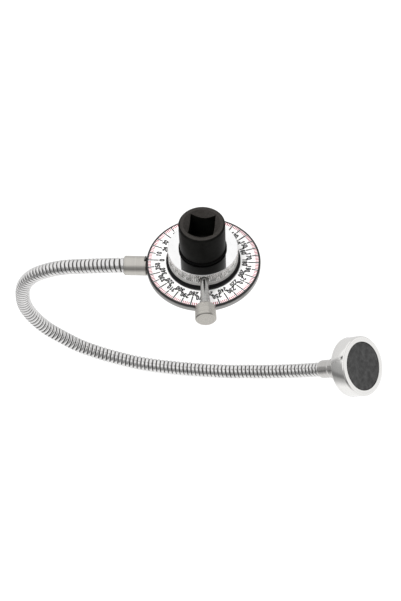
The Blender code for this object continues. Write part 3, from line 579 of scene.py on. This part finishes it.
def make_spindle():
    socket_low = SPINDLE_TOP - SOCKET_DEPTH
    groove_top = O_RING_HEIGHT + O_RING_SECTION_R + GAP
    points = [
        (0, SPINDLE_TOP),
        (SPINDLE_R - SPINDLE_EDGE, SPINDLE_TOP),
        (SPINDLE_R, SPINDLE_TOP - SPINDLE_EDGE),
        (SPINDLE_R, groove_top),
        (O_RING_GROOVE_R, groove_top),
        (O_RING_GROOVE_R, RING_TOP),
        (SPINDLE_R, RING_TOP),
        (SPINDLE_R, CIRCLIP_TOP + GAP),
        (CLIP_GROOVE_R, CIRCLIP_TOP + GAP),
        (CLIP_GROOVE_R, CIRCLIP_BOTTOM - GAP),
        (SPINDLE_R, CIRCLIP_BOTTOM - GAP),
        (SPINDLE_R, SQUARE_LENGTH + SHOULDER_EDGE),
        (SPINDLE_R - SHOULDER_EDGE, SQUARE_LENGTH),
        (0, SQUARE_LENGTH),
    ]
    spindle = mesh_object("spindle", spun(points, 144, edge=0.12 * MM))

    drive_end = mesh_object("drive_end", square_bar(SQUARE, 0, SQUARE_LENGTH + OVERRUN, SQUARE_EDGE))
    reach = SQUARE / math.sqrt(2)
    lead = [
        (0, SQUARE_LENGTH + 2 * OVERRUN),
        (reach, SQUARE_LENGTH + 2 * OVERRUN),
        (reach, SQUARE_LEAD),
        (reach - SQUARE_LEAD, 0),
        (0, 0),
    ]
    cut(drive_end, spun(lead, 144), "INTERSECT")
    joined = bmesh.new()
    joined.from_mesh(drive_end.data)
    bpy.data.objects.remove(drive_end, do_unlink=True)
    cut(spindle, joined, "UNION")

    cut(spindle, square_bar(SOCKET, socket_low, SPINDLE_TOP + OVERRUN, 0))
    lead_depth = SOCKET_LEAD_R - SOCKET / 2
    cone = [
        (0, SPINDLE_TOP + OVERRUN),
        (SOCKET_LEAD_R + OVERRUN, SPINDLE_TOP + OVERRUN),
        (SOCKET / 2, SPINDLE_TOP - lead_depth),
        (0, SPINDLE_TOP - lead_depth),
    ]
    cut(spindle, spun(cone, 144))
    drill = [
        (0, socket_low + OVERRUN),
        (SOCKET_DRILL_R, socket_low + OVERRUN),
        (SOCKET_DRILL_R, socket_low),
        (0, socket_low - SOCKET_DRILL_DEPTH),
    ]
    cut(spindle, spun(drill, 72))
    detent_frame = axis_frame(UP * BALL_HEIGHT, DETENT_OUT)
    cut(spindle, bar(BALL_R + GAP, SQUARE / 2 - DETENT_DEPTH, SQUARE / 2 + OVERRUN, detent_frame))
    dress(spindle, (OXIDE, OXIDE_TOP_LIGHT), "drive", "black_oxide_steel", "drive_spindle", angle=18.0)
    # Painted light: the socket's up-facing mouth and bowl take the lighter grey oxide.
    for face in spindle.data.polygons:
        radius = face.center.xy.length
        if face.center.z > SPINDLE_TOP - lead_depth - OVERRUN and radius < SPINDLE_R - SPINDLE_EDGE \
                and face.normal.z > 0.5:
            face.material_index = 1


def make_detent():
    form = bmesh.new()
    centre = UP * BALL_HEIGHT + DETENT_OUT * (SQUARE / 2 + BALL_PROUD - BALL_R)
    bmesh.ops.create_uvsphere(form, u_segments=48, v_segments=24, radius=BALL_R,
                              matrix=axis_frame(centre, DETENT_OUT))
    dress(mesh_object("ball", form), BRIGHT, "detent", "bright_steel", "detent_ball")


def make_o_ring():
    section = []
    for step in range(14):
        angle = math.tau * step / 14
        section.append((O_RING_R + O_RING_SECTION_R * math.sin(angle),
                        O_RING_HEIGHT + O_RING_SECTION_R * math.cos(angle)))
    turned("o_ring", section, 144, RUBBER, "drive", "black_rubber", "collar_o_ring", closed=True,
           edge=0.0)


def make_circlip():
    points = [(CLIP_R, CIRCLIP_TOP), (CLIP_R, CIRCLIP_BOTTOM), (CLIP_INNER_R, CIRCLIP_BOTTOM),
              (CLIP_INNER_R, CIRCLIP_TOP)]
    clip = mesh_object("retaining_clip", spun(points, 120, closed=True, edge=0.08 * MM))
    half = CIRCLIP_OPENING / 2
    cut(clip, block((-half, 0, CIRCLIP_BOTTOM - OVERRUN), (half, CLIP_R + OVERRUN,
                                                          CIRCLIP_TOP + OVERRUN)))
    dress(clip, SPRING_STEEL, "drive", "spring_steel", "circlip")


# ---------------------------------------------------------------- dial

SCALE_ZERO = math.radians(174.8)
INK_PROUD = 0.03 * MM
INK_SUNK = 0.02 * MM
PLATE_EDGE = 0.25 * MM
PLATE_EDGE_DEPTH = 0.22 * MM
PLATE_SHY = 0.03 * MM
BASE_EDGE = 0.4 * MM
BORDER_R = 29.15 * MM
BORDER_SHY = 0.01 * MM
BORDER_SIDE_R = DIAL_R - 0.08 * MM
BORDER_BACK_R = DIAL_R - 0.3 * MM
BORDER_LOW = PLATE_BOTTOM + 0.05 * MM
STROKE_INNER_R = 27.5 * MM
STROKE_WIDTH = 0.5 * MM
TICK_WIDTH = 0.7 * MM
LONG_TICK_R = 23.7 * MM
SHORT_TICK_R = 26.0 * MM
INNER_NUMBER_R = 21.9 * MM
OUTER_NUMBER_R = 24.2 * MM
DIGIT_WIDTH = 0.88 * MM
DIGIT_HEIGHT = 2.25 * MM
DIGIT_PITCH = 1.6 * MM
DIGIT_STROKE = 0.66 * MM

# Centre lines of the digits in a unit box, each stroke a run of points
DIGITS = {
    "0": [[(0.3, 0), (0.7, 0), (1, 0.2), (1, 0.8), (0.7, 1), (0.3, 1), (0, 0.8), (0, 0.2),
           (0.3, 0)]],
    "1": [[(0.15, 0.78), (0.55, 1), (0.55, 0)]],
    "2": [[(0, 0.78), (0.25, 1), (0.75, 1), (1, 0.8), (1, 0.6), (0, 0), (1, 0)]],
    "3": [[(0, 0.85), (0.3, 1), (0.7, 1), (1, 0.82), (1, 0.68), (0.65, 0.53), (0.35, 0.53)],
          [(0.65, 0.53), (1, 0.35), (1, 0.18), (0.7, 0), (0.3, 0), (0, 0.15)]],
    "4": [[(0.75, 0), (0.75, 1), (0, 0.3), (1, 0.3)]],
    "5": [[(0.95, 1), (0.12, 1), (0.05, 0.56), (0.6, 0.62), (1, 0.42), (1, 0.2), (0.65, 0),
           (0.3, 0), (0, 0.15)]],
    "6": [[(0.9, 0.88), (0.65, 1), (0.3, 1), (0, 0.75), (0, 0.2), (0.3, 0), (0.7, 0), (1, 0.2),
           (1, 0.38), (0.7, 0.57), (0.3, 0.57), (0, 0.38)]],
    "7": [[(0, 1), (1, 1), (0.4, 0)]],
    "8": [[(0.3, 0.53), (0.03, 0.7), (0.03, 0.83), (0.3, 1), (0.7, 1), (0.97, 0.83), (0.97, 0.7),
           (0.7, 0.53), (0.3, 0.53), (0, 0.35), (0, 0.18), (0.3, 0), (0.7, 0), (1, 0.18),
           (1, 0.35), (0.7, 0.53)]],
    "9": [[(0.1, 0.12), (0.35, 0), (0.7, 0), (1, 0.25), (1, 0.8), (0.7, 1), (0.3, 1), (0, 0.8),
           (0, 0.62), (0.3, 0.43), (0.7, 0.43), (1, 0.62)]],
}


def dial_spot(degrees, radius):
    """Frame on the printed face: local +Y points outwards at that reading of the scale."""
    angle = SCALE_ZERO - math.radians(degrees)
    spot = Vector((radius * math.cos(angle), radius * math.sin(angle), DIAL_TOP))
    return Matrix.Translation(spot) @ Matrix.Rotation(angle - math.pi / 2, 4, "Z")


def stroke(form, degrees, inner, outer, width):
    """One printed stroke between two radii."""
    spot = dial_spot(degrees, (inner + outer) / 2) @ Matrix.Translation(
        (0, 0, (INK_PROUD - INK_SUNK) / 2))
    size = Matrix.Diagonal((width, outer - inner, INK_PROUD + INK_SUNK, 1.0))
    bmesh.ops.create_cube(form, size=1.0, matrix=spot @ size)


def write_number(form, text, spot):
    """Prints a number about a spot, its top towards local +Y: a bar for each line, and a round dot
    at each point, which lies a trace lower than the bars."""
    for place, digit in enumerate(text):
        left = (place - (len(text) - 1) / 2) * DIGIT_PITCH - DIGIT_WIDTH / 2
        for line in DIGITS[digit]:
            points = [Vector((left + x * DIGIT_WIDTH, (y - 0.5) * DIGIT_HEIGHT, 0))
                      for x, y in line]
            for point in points:
                bmesh.ops.create_cone(form, cap_ends=True, segments=12, radius1=DIGIT_STROKE / 2,
                                      radius2=DIGIT_STROKE / 2, depth=2 * INK_SUNK,
                                      matrix=spot @ Matrix.Translation(point))
            for start, end in zip(points, points[1:]):
                middle = Matrix.Translation((start + end) / 2 + UP * (INK_PROUD - INK_SUNK) / 2)
                turn = Matrix.Rotation(math.atan2(end.y - start.y, end.x - start.x), 4, "Z")
                size = Matrix.Diagonal(((end - start).length, DIGIT_STROKE, INK_PROUD + INK_SUNK, 1))
                bmesh.ops.create_cube(form, size=1.0, matrix=spot @ middle @ turn @ size)


def make_dial():
    plate = [
        (DIAL_R - PLATE_EDGE, DIAL_TOP),
        (DIAL_R - PLATE_SHY, DIAL_TOP - PLATE_EDGE_DEPTH),
        (DIAL_R - PLATE_SHY, PLATE_BOTTOM),
        (DIAL_BORE_R, PLATE_BOTTOM),
        (DIAL_BORE_R, DIAL_TOP),
    ]
    turned("dial_plate", plate, 180, WHITE_PRINT, "dial", "printed_white", "scale_plate",
           closed=True, edge=0.04 * MM)
    border = [
        (BORDER_R, DIAL_TOP + INK_PROUD),
        (DIAL_R - PLATE_EDGE, DIAL_TOP + INK_PROUD),
        (DIAL_R - BORDER_SHY, DIAL_TOP - PLATE_EDGE_DEPTH),
        (DIAL_R - BORDER_SHY, BORDER_LOW),
        (BORDER_SIDE_R, BORDER_LOW),
        (BORDER_BACK_R, DIAL_TOP - INK_SUNK),
        (BORDER_R, DIAL_TOP - INK_SUNK),
    ]
    turned("dial_border", border, 180, BLACK_INK, "dial", "printed_white", closed=True, edge=0.0)

    strokes, ticks, numbers = bmesh.new(), bmesh.new(), bmesh.new()
    for degrees in range(0, 360, 2):
        if degrees % 10:
            stroke(strokes, degrees, STROKE_INNER_R, BORDER_R, STROKE_WIDTH)
            continue
        even = degrees % 20 == 0
        stroke(ticks, degrees, LONG_TICK_R if even else SHORT_TICK_R, BORDER_R, TICK_WIDTH)
        write_number(numbers, str(degrees),
                     dial_spot(degrees, INNER_NUMBER_R if even else OUTER_NUMBER_R))
    for name, form, ink in (("dial_strokes", strokes, RED_INK), ("dial_ticks", ticks, BLACK_INK),
                            ("dial_numbers", numbers, BLACK_INK)):
        dress(mesh_object(name, form), ink, "dial", "printed_white")

    base = [
        (DIAL_R - SHAVING, BASE_TOP),
        (DIAL_R - SHAVING, BASE_BOTTOM + BASE_EDGE),
        (DIAL_R - BASE_EDGE, BASE_BOTTOM),
        (DIAL_BORE_R, BASE_BOTTOM),
        (DIAL_BORE_R, BASE_TOP),
    ]
    disc = mesh_object("base", spun(base, 180, closed=True, edge=0.1 * MM))
    for place in SCREW_PLACES:
        cut(disc, bar(SCREW_R + GAP, BASE_BOTTOM - OVERRUN, BASE_BOTTOM + SCREW_BITE + GAP,
                      Matrix.Translation(ARM_OUT * place)))
    dress(disc, RIM, "dial", "turned_aluminium", "base_disc")

    bush = [
        (BUSH_R, DIAL_TOP),
        (BUSH_R, FLANGE_TOP),
        (FLANGE_R, FLANGE_TOP),
        (FLANGE_R, FLANGE_BOTTOM),
        (SPINDLE_BORE_R, FLANGE_BOTTOM),
        (SPINDLE_BORE_R, DIAL_TOP),
    ]
    turned("bush", bush, 120, BRONZE, "dial", "bronze", "hub_bush", closed=True)
    washer = [
        (FLANGE_R, WASHER_TOP),
        (FLANGE_R, WASHER_BOTTOM),
        (SPINDLE_BORE_R, WASHER_BOTTOM),
        (SPINDLE_BORE_R, WASHER_TOP),
    ]
    turned("washer", washer, 120, SPRING_STEEL, "dial", "bright_steel", "thrust_washer",
           closed=True)


# ---------------------------------------------------------------- ring and collar


def make_ring():
    collar = [
        (COLLAR_TOP_R, COLLAR_TOP),
        (COLLAR_TOP_R, COLLAR_FLANGE_TOP),
        (COLLAR_R, COLLAR_FLANGE_TOP),
        (COLLAR_R, COLLAR_BOTTOM),
        (SPINDLE_BORE_R, COLLAR_BOTTOM),
        (SPINDLE_BORE_R, COLLAR_TOP),
    ]
    turned("collar", collar, 144, NYLON, "ring", "black_nylon", "friction_collar", closed=True,
           edge=0.1 * MM)

    # Each tooth takes two steps of the spin: a crest and a valley.
    outline = [
        (SPINDLE_BORE_R, RING_TOP),
        (RING_R - RING_EDGE, RING_TOP),
        (RING_R, RING_TOP - RING_EDGE),
        (RING_R, RING_FOOT_TOP),
        (RING_FOOT_R, RING_FOOT_TOP - RING_STEP),
        (RING_FOOT_R, RING_BOTTOM),
        (SPINDLE_BORE_R, RING_BOTTOM),
    ]
    form = spun(outline, 2 * KNURL_TEETH, closed=True)
    share = 1.0 - KNURL_DEPTH / RING_R
    for vert in form.verts:
        if vert.co.xy.length < RING_R - MERGE:
            continue
        column = round(math.atan2(vert.co.y, vert.co.x) / math.tau * 2 * KNURL_TEETH)
        if column % 2:
            vert.co.x *= share
            vert.co.y *= share
            if vert.co.z > RING_FOOT_TOP + OVERRUN:
                vert.co.z += KNURL_DEPTH
    ring = mesh_object("ring", form)
    hole = [
        (0, RING_R + OVERRUN),
        (ROD_HOLE_R + COUNTERSINK + OVERRUN, RING_R + OVERRUN),
        (ROD_HOLE_R, RING_R - COUNTERSINK),
        (ROD_HOLE_R, 0),
        (0, 0),
    ]
    cut(ring, spun(hole, 64, place=SCREW_FRAME))
    dress(ring, (ALUMINIUM, POLISHED, BLASTED), "ring", "turned_aluminium", "pointer_ring",
          angle=12.0)
    for face in ring.data.polygons:
        if face.normal.z > 0.5:
            face.material_index = 1
        elif face.center.z < RING_FOOT_TOP and face.center.xy.length > RING_FOOT_R - GAP:
            face.material_index = 2


def make_thumb_screw():
    rod = [(0, ROD_END), (ROD_R, ROD_END), (ROD_R, ROD_START), (0, ROD_START)]
    turned("rod", rod, 64, BRIGHT, "screw", "bright_steel", "thumb_screw_rod", place=SCREW_FRAME)
    knob = [
        (0, KNOB_END),
        (KNOB_R - KNOB_EDGE, KNOB_END),
        (KNOB_R, KNOB_END - KNOB_EDGE),
        (KNOB_R, KNOB_START + KNOB_EDGE),
        (KNOB_R - KNOB_EDGE, KNOB_START),
        (ROD_HOLE_R, KNOB_START),
        (ROD_HOLE_R, ROD_END + GAP),
        (0, ROD_END + GAP),
    ]
    turned("knob", knob, 96, SATIN_KNOB, "screw", "satin_steel", "thumb_screw_knob",
           place=SCREW_FRAME)


# ---------------------------------------------------------------- arm fixing


def make_ferrule():
    stop = FERRULE_END - TUBE_SEAT - GAP
    points = [
        (0, stop),
        (FERRULE_BORE_R, stop),
        (FERRULE_BORE_R, FERRULE_END),
        (FERRULE_LIP_R, FERRULE_END),
        (FERRULE_R, FERRULE_END - FERRULE_EDGE),
        (FERRULE_R, TONGUE_START),
        (0, TONGUE_START),
    ]
    ferrule = mesh_object("ferrule", spun(points, 96, edge=0.06 * MM, place=FERRULE_FRAME))
    along = Matrix.Rotation(ARM_TURN, 4, "Z")
    high = ARM_HEIGHT + FERRULE_R + OVERRUN
    cut(ferrule, block((0, -FERRULE_R - OVERRUN, TONGUE_TOP),
                       (FERRULE_START, FERRULE_R + OVERRUN, high), along))
    cut(ferrule, block((BRACKET_END, -FERRULE_R - 2 * OVERRUN, BRACKET_BOTTOM - 2 * GAP),
                       (LUG_END + GAP, LUG_TO + GAP, high + OVERRUN), along))
    low = ARM_HEIGHT - FERRULE_R - OVERRUN
    seat = ARM_HEIGHT - FERRULE_R + SCREW_SINK
    for place in SCREW_PLACES:
        spot = Matrix.Translation(ARM_OUT * place)
        cut(ferrule, bar(SCREW_R + GAP, low, BRACKET_TOP + OVERRUN, spot))
        cut(ferrule, bar(SCREW_HEAD_R + GAP, low, seat, spot))
    dress(ferrule, SATIN_FERRULE, "dial", "satin_steel", "dial_ferrule")


def from_cad(name, node, finish, body, slot, edge):
    """A copy of a flat-sided CAD node with its triangles joined into faces and its edges broken."""
    form = bmesh.new()
    form.from_mesh(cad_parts[node].data)
    bmesh.ops.remove_doubles(form, verts=form.verts, dist=MERGE)
    bmesh.ops.dissolve_limit(form, angle_limit=math.radians(2.0), verts=form.verts,
                             edges=form.edges)
    crisp(form, edge)
    dress(mesh_object(name, form), finish, body, slot, node)


def make_bracket_screws():
    head_top = ARM_HEIGHT - FERRULE_R + SCREW_SINK - GAP
    head_bottom = head_top - SCREW_HEAD_HEIGHT
    points = [
        (0, BASE_BOTTOM + SCREW_BITE),
        (SCREW_R, BASE_BOTTOM + SCREW_BITE),
        (SCREW_R, head_top),
        (SCREW_HEAD_R, head_top),
        (SCREW_HEAD_R, head_bottom + SCREW_HEAD_EDGE_HEIGHT),
        (SCREW_HEAD_R - SCREW_HEAD_EDGE, head_bottom),
        (0, head_bottom),
    ]
    along = Matrix.Rotation(ARM_TURN, 4, "Z")
    for number, spot in enumerate(SCREW_PLACES, 1):
        place = Matrix.Translation(ARM_OUT * spot) @ along
        screw = mesh_object(f"fixing_screw_{number}", spun(points, 48, edge=0.05 * MM, place=place))
        cut(screw, block((-SLOT_WIDTH / 2, -SCREW_HEAD_R - OVERRUN, head_bottom - OVERRUN),
                         (SLOT_WIDTH / 2, SCREW_HEAD_R + OVERRUN, head_bottom + SLOT_DEPTH), place))
        dress(screw, SPRING_STEEL, "dial", "bright_steel", f"bracket_screw_{number}")


# ---------------------------------------------------------------- gooseneck

CURVE_STEPS = 16
STEPS_A_TURN = 28

# One pitch of the wound wire's section: share of the pitch, and radius in millimetres
WOUND_SECTION = [
    (0.00, 3.72), (0.03, 3.92), (0.10, 4.05), (0.24, 4.11), (0.39, 4.12), (0.54, 4.11),
    (0.68, 4.05), (0.75, 3.92), (0.78, 3.72), (0.80, 3.42), (0.98, 3.42),
]
GROOVE_R = 3.75 * MM


class Route:
    """The arm's centre line with a frame that doesn't twist, read by distance along it."""

    def __init__(self, points):
        spans = [(b - a).length for a, b in zip(points, points[1:])]
        slopes = [(b - a) / span for a, b, span in zip(points, points[1:], spans)]
        tangents = [slopes[0]]
        for i in range(1, len(points) - 1):
            before, after = spans[i - 1], spans[i]
            tangents.append((slopes[i - 1] * after + slopes[i] * before) / (before + after))
        tangents.append(slopes[-1])
        fine = [points[0]]
        for i, span in enumerate(spans):
            for step in range(1, CURVE_STEPS + 1):
                t = step / CURVE_STEPS
                fine.append(points[i] * (2 * t ** 3 - 3 * t ** 2 + 1)
                            + tangents[i] * ((t ** 3 - 2 * t ** 2 + t) * span)
                            + points[i + 1] * (3 * t ** 2 - 2 * t ** 3)
                            + tangents[i + 1] * ((t ** 3 - t ** 2) * span))
        self.points = np.array(fine)
        steps = np.linalg.norm(np.diff(self.points, axis=0), axis=1)
        self.lengths = np.concatenate(([0.0], np.cumsum(steps)))
        self.length = float(self.lengths[-1])
        along = np.gradient(self.points, self.lengths, axis=0)
        self.along = along / np.linalg.norm(along, axis=1)[:, None]
        side = Vector(self.along[0]).cross(UP).normalized()
        sides = [side]
        for before, after in zip(self.along, self.along[1:]):
            turn = Vector(before).rotation_difference(Vector(after))
            side = turn @ side
            sides.append(side)
        self.side = np.array(sides)

    def read(self, values, distance):
        return np.stack([np.interp(distance, self.lengths, values[:, i]) for i in range(3)], -1)

    def at(self, distance):
        return Vector(self.read(self.points, distance))

    def direction(self, distance):
        return Vector(self.read(self.along, distance)).normalized()

    def wrap(self, mesh):
        """Bends a mesh that stands along Z onto the centre line."""
        flat = np.zeros(len(mesh.vertices) * 3)
        mesh.vertices.foreach_get("co", flat)
        x, y, distance = flat.reshape(-1, 3).T
        along = self.read(self.along, distance)
        along /= np.linalg.norm(along, axis=1)[:, None]
        side = self.read(self.side, distance)
        side -= along * np.sum(along * side, axis=1)[:, None]
        side /= np.linalg.norm(side, axis=1)[:, None]
        other = np.cross(along, side)
        spots = self.read(self.points, distance) + side * x[:, None] + other * y[:, None]
        mesh.vertices.foreach_set("co", spots.ravel())
        mesh.update()


def wound_form(low, high):
    """A length of wound wire along Z: its section is carried round one unbroken right-hand helix,
    and both ends are cut square and closed."""
    first = math.floor(low / BAND_PITCH) - 2
    turns = math.ceil(high / BAND_PITCH) + 1 - first
    form = bmesh.new()
    corners = [form.verts.new((radius * MM, 0, (first + share) * BAND_PITCH))
               for share, radius in WOUND_SECTION + [(1.0, WOUND_SECTION[0][1])]]
    lines = [form.edges.new(pair) for pair in zip(corners, corners[1:])]
    bmesh.ops.spin(form, geom=corners + lines, cent=(0, 0, 0), axis=(0, 0, 1),
                   dvec=(0, 0, BAND_PITCH / STEPS_A_TURN), angle=math.tau * turns,
                   steps=STEPS_A_TURN * turns, use_merge=False)
    bmesh.ops.remove_doubles(form, verts=form.verts, dist=MERGE)
    for height, outwards in ((low, -1.0), (high, 1.0)):
        bmesh.ops.bisect_plane(form, geom=form.verts[:] + form.edges[:] + form.faces[:],
                               dist=MERGE / 10, plane_co=(0, 0, height),
                               plane_no=(0, 0, outwards), clear_outer=True)
    bmesh.ops.holes_fill(form, edges=[e for e in form.edges if e.is_boundary], sides=0)
    bmesh.ops.recalc_face_normals(form, faces=form.faces)
    return form


def make_gooseneck(route):
    section = route.length / SECTIONS
    stops = [0.0] + [section * (index + 0.5) for index in range(1, SECTIONS - 1)] + [route.length]
    for index in range(SECTIONS - 1):
        item = mesh_object(f"wound_arm_{index + 1}", wound_form(stops[index], stops[index + 1]))
        # Faces that lie in the groove, which take the painted groove shade
        in_groove = [face.center.xy.length < GROOVE_R for face in item.data.polygons]
        route.wrap(item.data)
        nodes = [f"gooseneck_{index + 1}"] + ([f"gooseneck_{SECTIONS}"] if index == SECTIONS - 2
                                              else [])
        dress(item, (CHROME, GROOVE_SHADE), None, "chromed_steel", *nodes, angle=42.0)
        # Painted shade: the groove's faces get the darker groove material.
        item.data.polygons.foreach_set("material_index", in_groove)
        bend = section * (index + 1)
        middle, along = route.at(bend), route.direction(bend)
        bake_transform(item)


# ---------------------------------------------------------------- magnet


def make_magnet():
    points = [
        (0, STUD_START - GAP),
        (STUD_R + GAP, STUD_START - GAP),
        (STUD_R + GAP, BOSS_END),
        (BOSS_R, BOSS_END),
        (BOSS_R, MAGNET_FERRULE_LENGTH + BOSS_FLARE),
        (FERRULE_R, MAGNET_FERRULE_LENGTH),
    ]
    for step in range(9):
        angle = math.pi / 2 * (1 - step / 8)
        points.append((FERRULE_LIP_R + (FERRULE_R - FERRULE_LIP_R) * math.sin(angle),
                       NOSE_LENGTH * (1 - math.cos(angle))))
    points += [(FERRULE_BORE_R, 0), (FERRULE_BORE_R, TUBE_SEAT + GAP), (0, TUBE_SEAT + GAP)]
    turned("boss", points, 96, SATIN_MAGNET, "magnet", "satin_steel", "magnet_ferrule",
           place=MAGNET_FRAME)
    stud = [(0, STUD_END), (STUD_R, STUD_END), (STUD_R, STUD_START), (0, STUD_START)]
    turned("stud", stud, 48, SATIN_MAGNET, "magnet", "bright_steel", "magnet_stud",
           place=MAGNET_FRAME)
    pot = [
        (0, DISC_START - GAP),
        (POT_R - POT_RIM, DISC_START - GAP),
        (POT_R - POT_RIM, POT_END),
        (POT_R - POT_EDGE, POT_END),
        (POT_R - SHAVING, POT_END - POT_EDGE),
        (POT_R - SHAVING, POT_START + POT_EDGE),
        (POT_R - POT_EDGE, POT_START),
        (STUD_R + GAP, POT_START),
        (STUD_R + GAP, STUD_END + GAP),
        (0, STUD_END + GAP),
    ]
    turned("pot", pot, 180, NICKEL, "magnet", "nickelled_steel", "magnet_pot", edge=0.12 * MM,
           place=MAGNET_FRAME)
    disc = [(0, DISC_END), (DISC_R, DISC_END), (DISC_R, DISC_START), (0, DISC_START)]
    turned("magnet", disc, 144, FERRITE, "magnet", "ferrite", "magnet_disc", edge=0.2 * MM,
           place=MAGNET_FRAME)


def finish_cad_nodes():
    """The hidden nodes that stay as they are get the finish of what they are made of."""
    for node, finish in (("detent_spring", SPRING_STEEL), ("clamp_pad", NYLON)):
        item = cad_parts[node]
        item.data.materials.clear()
        item.data.materials.append(finish)


# ---------------------------------------------------------------- studio


def seen_directly(tree):
    """1 for rays from the camera and for rays that metal or glass turns, 0 for soft light."""
    path = add(tree, "ShaderNodeLightPath").outputs
    camera_or_gloss = add(tree, "ShaderNodeMath", {0: path["Is Camera Ray"],
                                                   1: path["Is Glossy Ray"]}, operation="MAXIMUM")
    return add(tree, "ShaderNodeMath", {0: camera_or_gloss.outputs[0],
                                        1: path["Is Transmission Ray"]},
               operation="MAXIMUM").outputs[0]


def make_floor():
    low = CAD_BOX[0][2] - 0.2 * MM
    form = bmesh.new()
    bmesh.ops.create_grid(form, x_segments=1, y_segments=1, size=12.0,
                          matrix=Matrix.Translation((0, 0, low)))
    floor = mesh_object("floor", form)
    made = bpy.data.materials.new("white_floor")
    made.use_nodes = True
    tree = made.node_tree
    tree.nodes.clear()
    card = add(tree, "ShaderNodeBsdfDiffuse", {"Color": (0.8, 0.8, 0.8, 1.0)})
    glow = add(tree, "ShaderNodeEmission", {"Color": (1.0, 1.0, 1.0, 1.0), "Strength": 0.85})
    shade = add(tree, "ShaderNodeBsdfDiffuse", {"Color": (0.2, 0.2, 0.2, 1.0)})
    both = add(tree, "ShaderNodeAddShader", {0: glow.outputs[0], 1: shade.outputs[0]})
    mix = add(tree, "ShaderNodeMixShader", {0: seen_directly(tree), 1: card.outputs[0],
                                            2: both.outputs[0]})
    add(tree, "ShaderNodeOutputMaterial", {"Surface": mix.outputs[0]})
    floor.data.materials.append(made)
    floor.visible_glossy = False


# What metal sees round it: the height along a leaning axis, and how bright the studio is there
STUDIO_UP = (-0.323, 0.234, 0.917)
STUDIO_TONES = [(-0.6, 1.0), (-0.45, 0.78), (-0.32, 0.52), (-0.18, 0.4), (-0.07, 0.2),
                (0.03, 0.2), (0.15, 0.36), (0.45, 0.42), (0.54, 0.5), (0.59, 0.85), (0.63, 1.0)]


def make_world():
    """Soft white light all round. Metal sees white below and above, and a dark band between."""
    world = bpy.data.worlds.new("studio")
    world.use_nodes = True
    bpy.context.scene.world = world
    tree = world.node_tree
    tree.nodes.clear()
    soft = add(tree, "ShaderNodeBackground", {"Color": (1.0, 1.0, 1.0, 1.0), "Strength": 0.6})
    around = add(tree, "ShaderNodeTexCoord").outputs["Generated"]
    height = add(tree, "ShaderNodeVectorMath", {0: around, 1: STUDIO_UP}, operation="DOT_PRODUCT")
    share = add(tree, "ShaderNodeMapRange", {"Value": height.outputs["Value"], "From Min": -1.0})
    ramp = add(tree, "ShaderNodeValToRGB", {"Fac": share.outputs["Result"]})
    while len(ramp.color_ramp.elements) < len(STUDIO_TONES):
        ramp.color_ramp.elements.new(1.0)
    for element, (level, tone) in zip(ramp.color_ramp.elements, STUDIO_TONES):
        element.position = (level + 1) / 2
        element.color = (tone, tone, tone, 1.0)
    sides = add(tree, "ShaderNodeSeparateXYZ", {"Vector": around}).outputs
    back = add(tree, "ShaderNodeMapRange", {"Value": sides["Y"], "From Min": 0.25, "From Max": 0.45,
                                            "To Max": 0.78})
    right = add(tree, "ShaderNodeMapRange", {"Value": sides["X"], "From Min": 0.75, "From Max": 0.9,
                                             "To Max": 0.95})
    tone = ramp.outputs["Color"]
    for wall in (back, right):
        tone = add(tree, "ShaderNodeMath", {0: tone, 1: wall.outputs["Result"]},
                   operation="MAXIMUM").outputs[0]
    walls = add(tree, "ShaderNodeBackground", {"Color": tone, "Strength": 1.0})
    white = add(tree, "ShaderNodeBackground", {"Color": (1.0, 1.0, 1.0, 1.0), "Strength": 1.0})
    camera = add(tree, "ShaderNodeLightPath").outputs["Is Camera Ray"]
    seen = add(tree, "ShaderNodeMixShader", {0: camera, 1: walls.outputs[0], 2: white.outputs[0]})
    mix = add(tree, "ShaderNodeMixShader", {0: seen_directly(tree), 1: soft.outputs[0],
                                            2: seen.outputs[0]})
    add(tree, "ShaderNodeOutputWorld", {"Surface": mix.outputs[0]})


def add_lamp(name, spot, size, power):
    lamp = bpy.data.objects.new(name, bpy.data.lights.new(name, "AREA"))
    lamp.data.shape = "SQUARE"
    lamp.data.size = size
    lamp.data.energy = power
    bpy.context.scene.collection.objects.link(lamp)
    lamp.matrix_world = axis_frame(Vector(spot), Vector(spot))
    lamp.visible_glossy = False


def main():
    place_camera()
    make_spindle()
    make_detent()
    make_o_ring()
    make_circlip()
    make_dial()
    make_ring()
    make_thumb_screw()
    make_ferrule()
    from_cad("bracket", "arm_bracket", OXIDE, "dial", "black_oxide_steel", 0.12 * MM)
    make_bracket_screws()
    make_gooseneck(Route(ARM_POINTS))
    make_magnet()
    finish_cad_nodes()
    make_floor()
    make_world()
    add_lamp("key_lamp", (-0.7, -0.5, 1.3), 1.0, 22.0)
    add_lamp("fill_lamp", (0.9, 0.4, 1.1), 1.0, 10.0)
    bpy.context.scene.view_settings.view_transform = "Standard"


main()
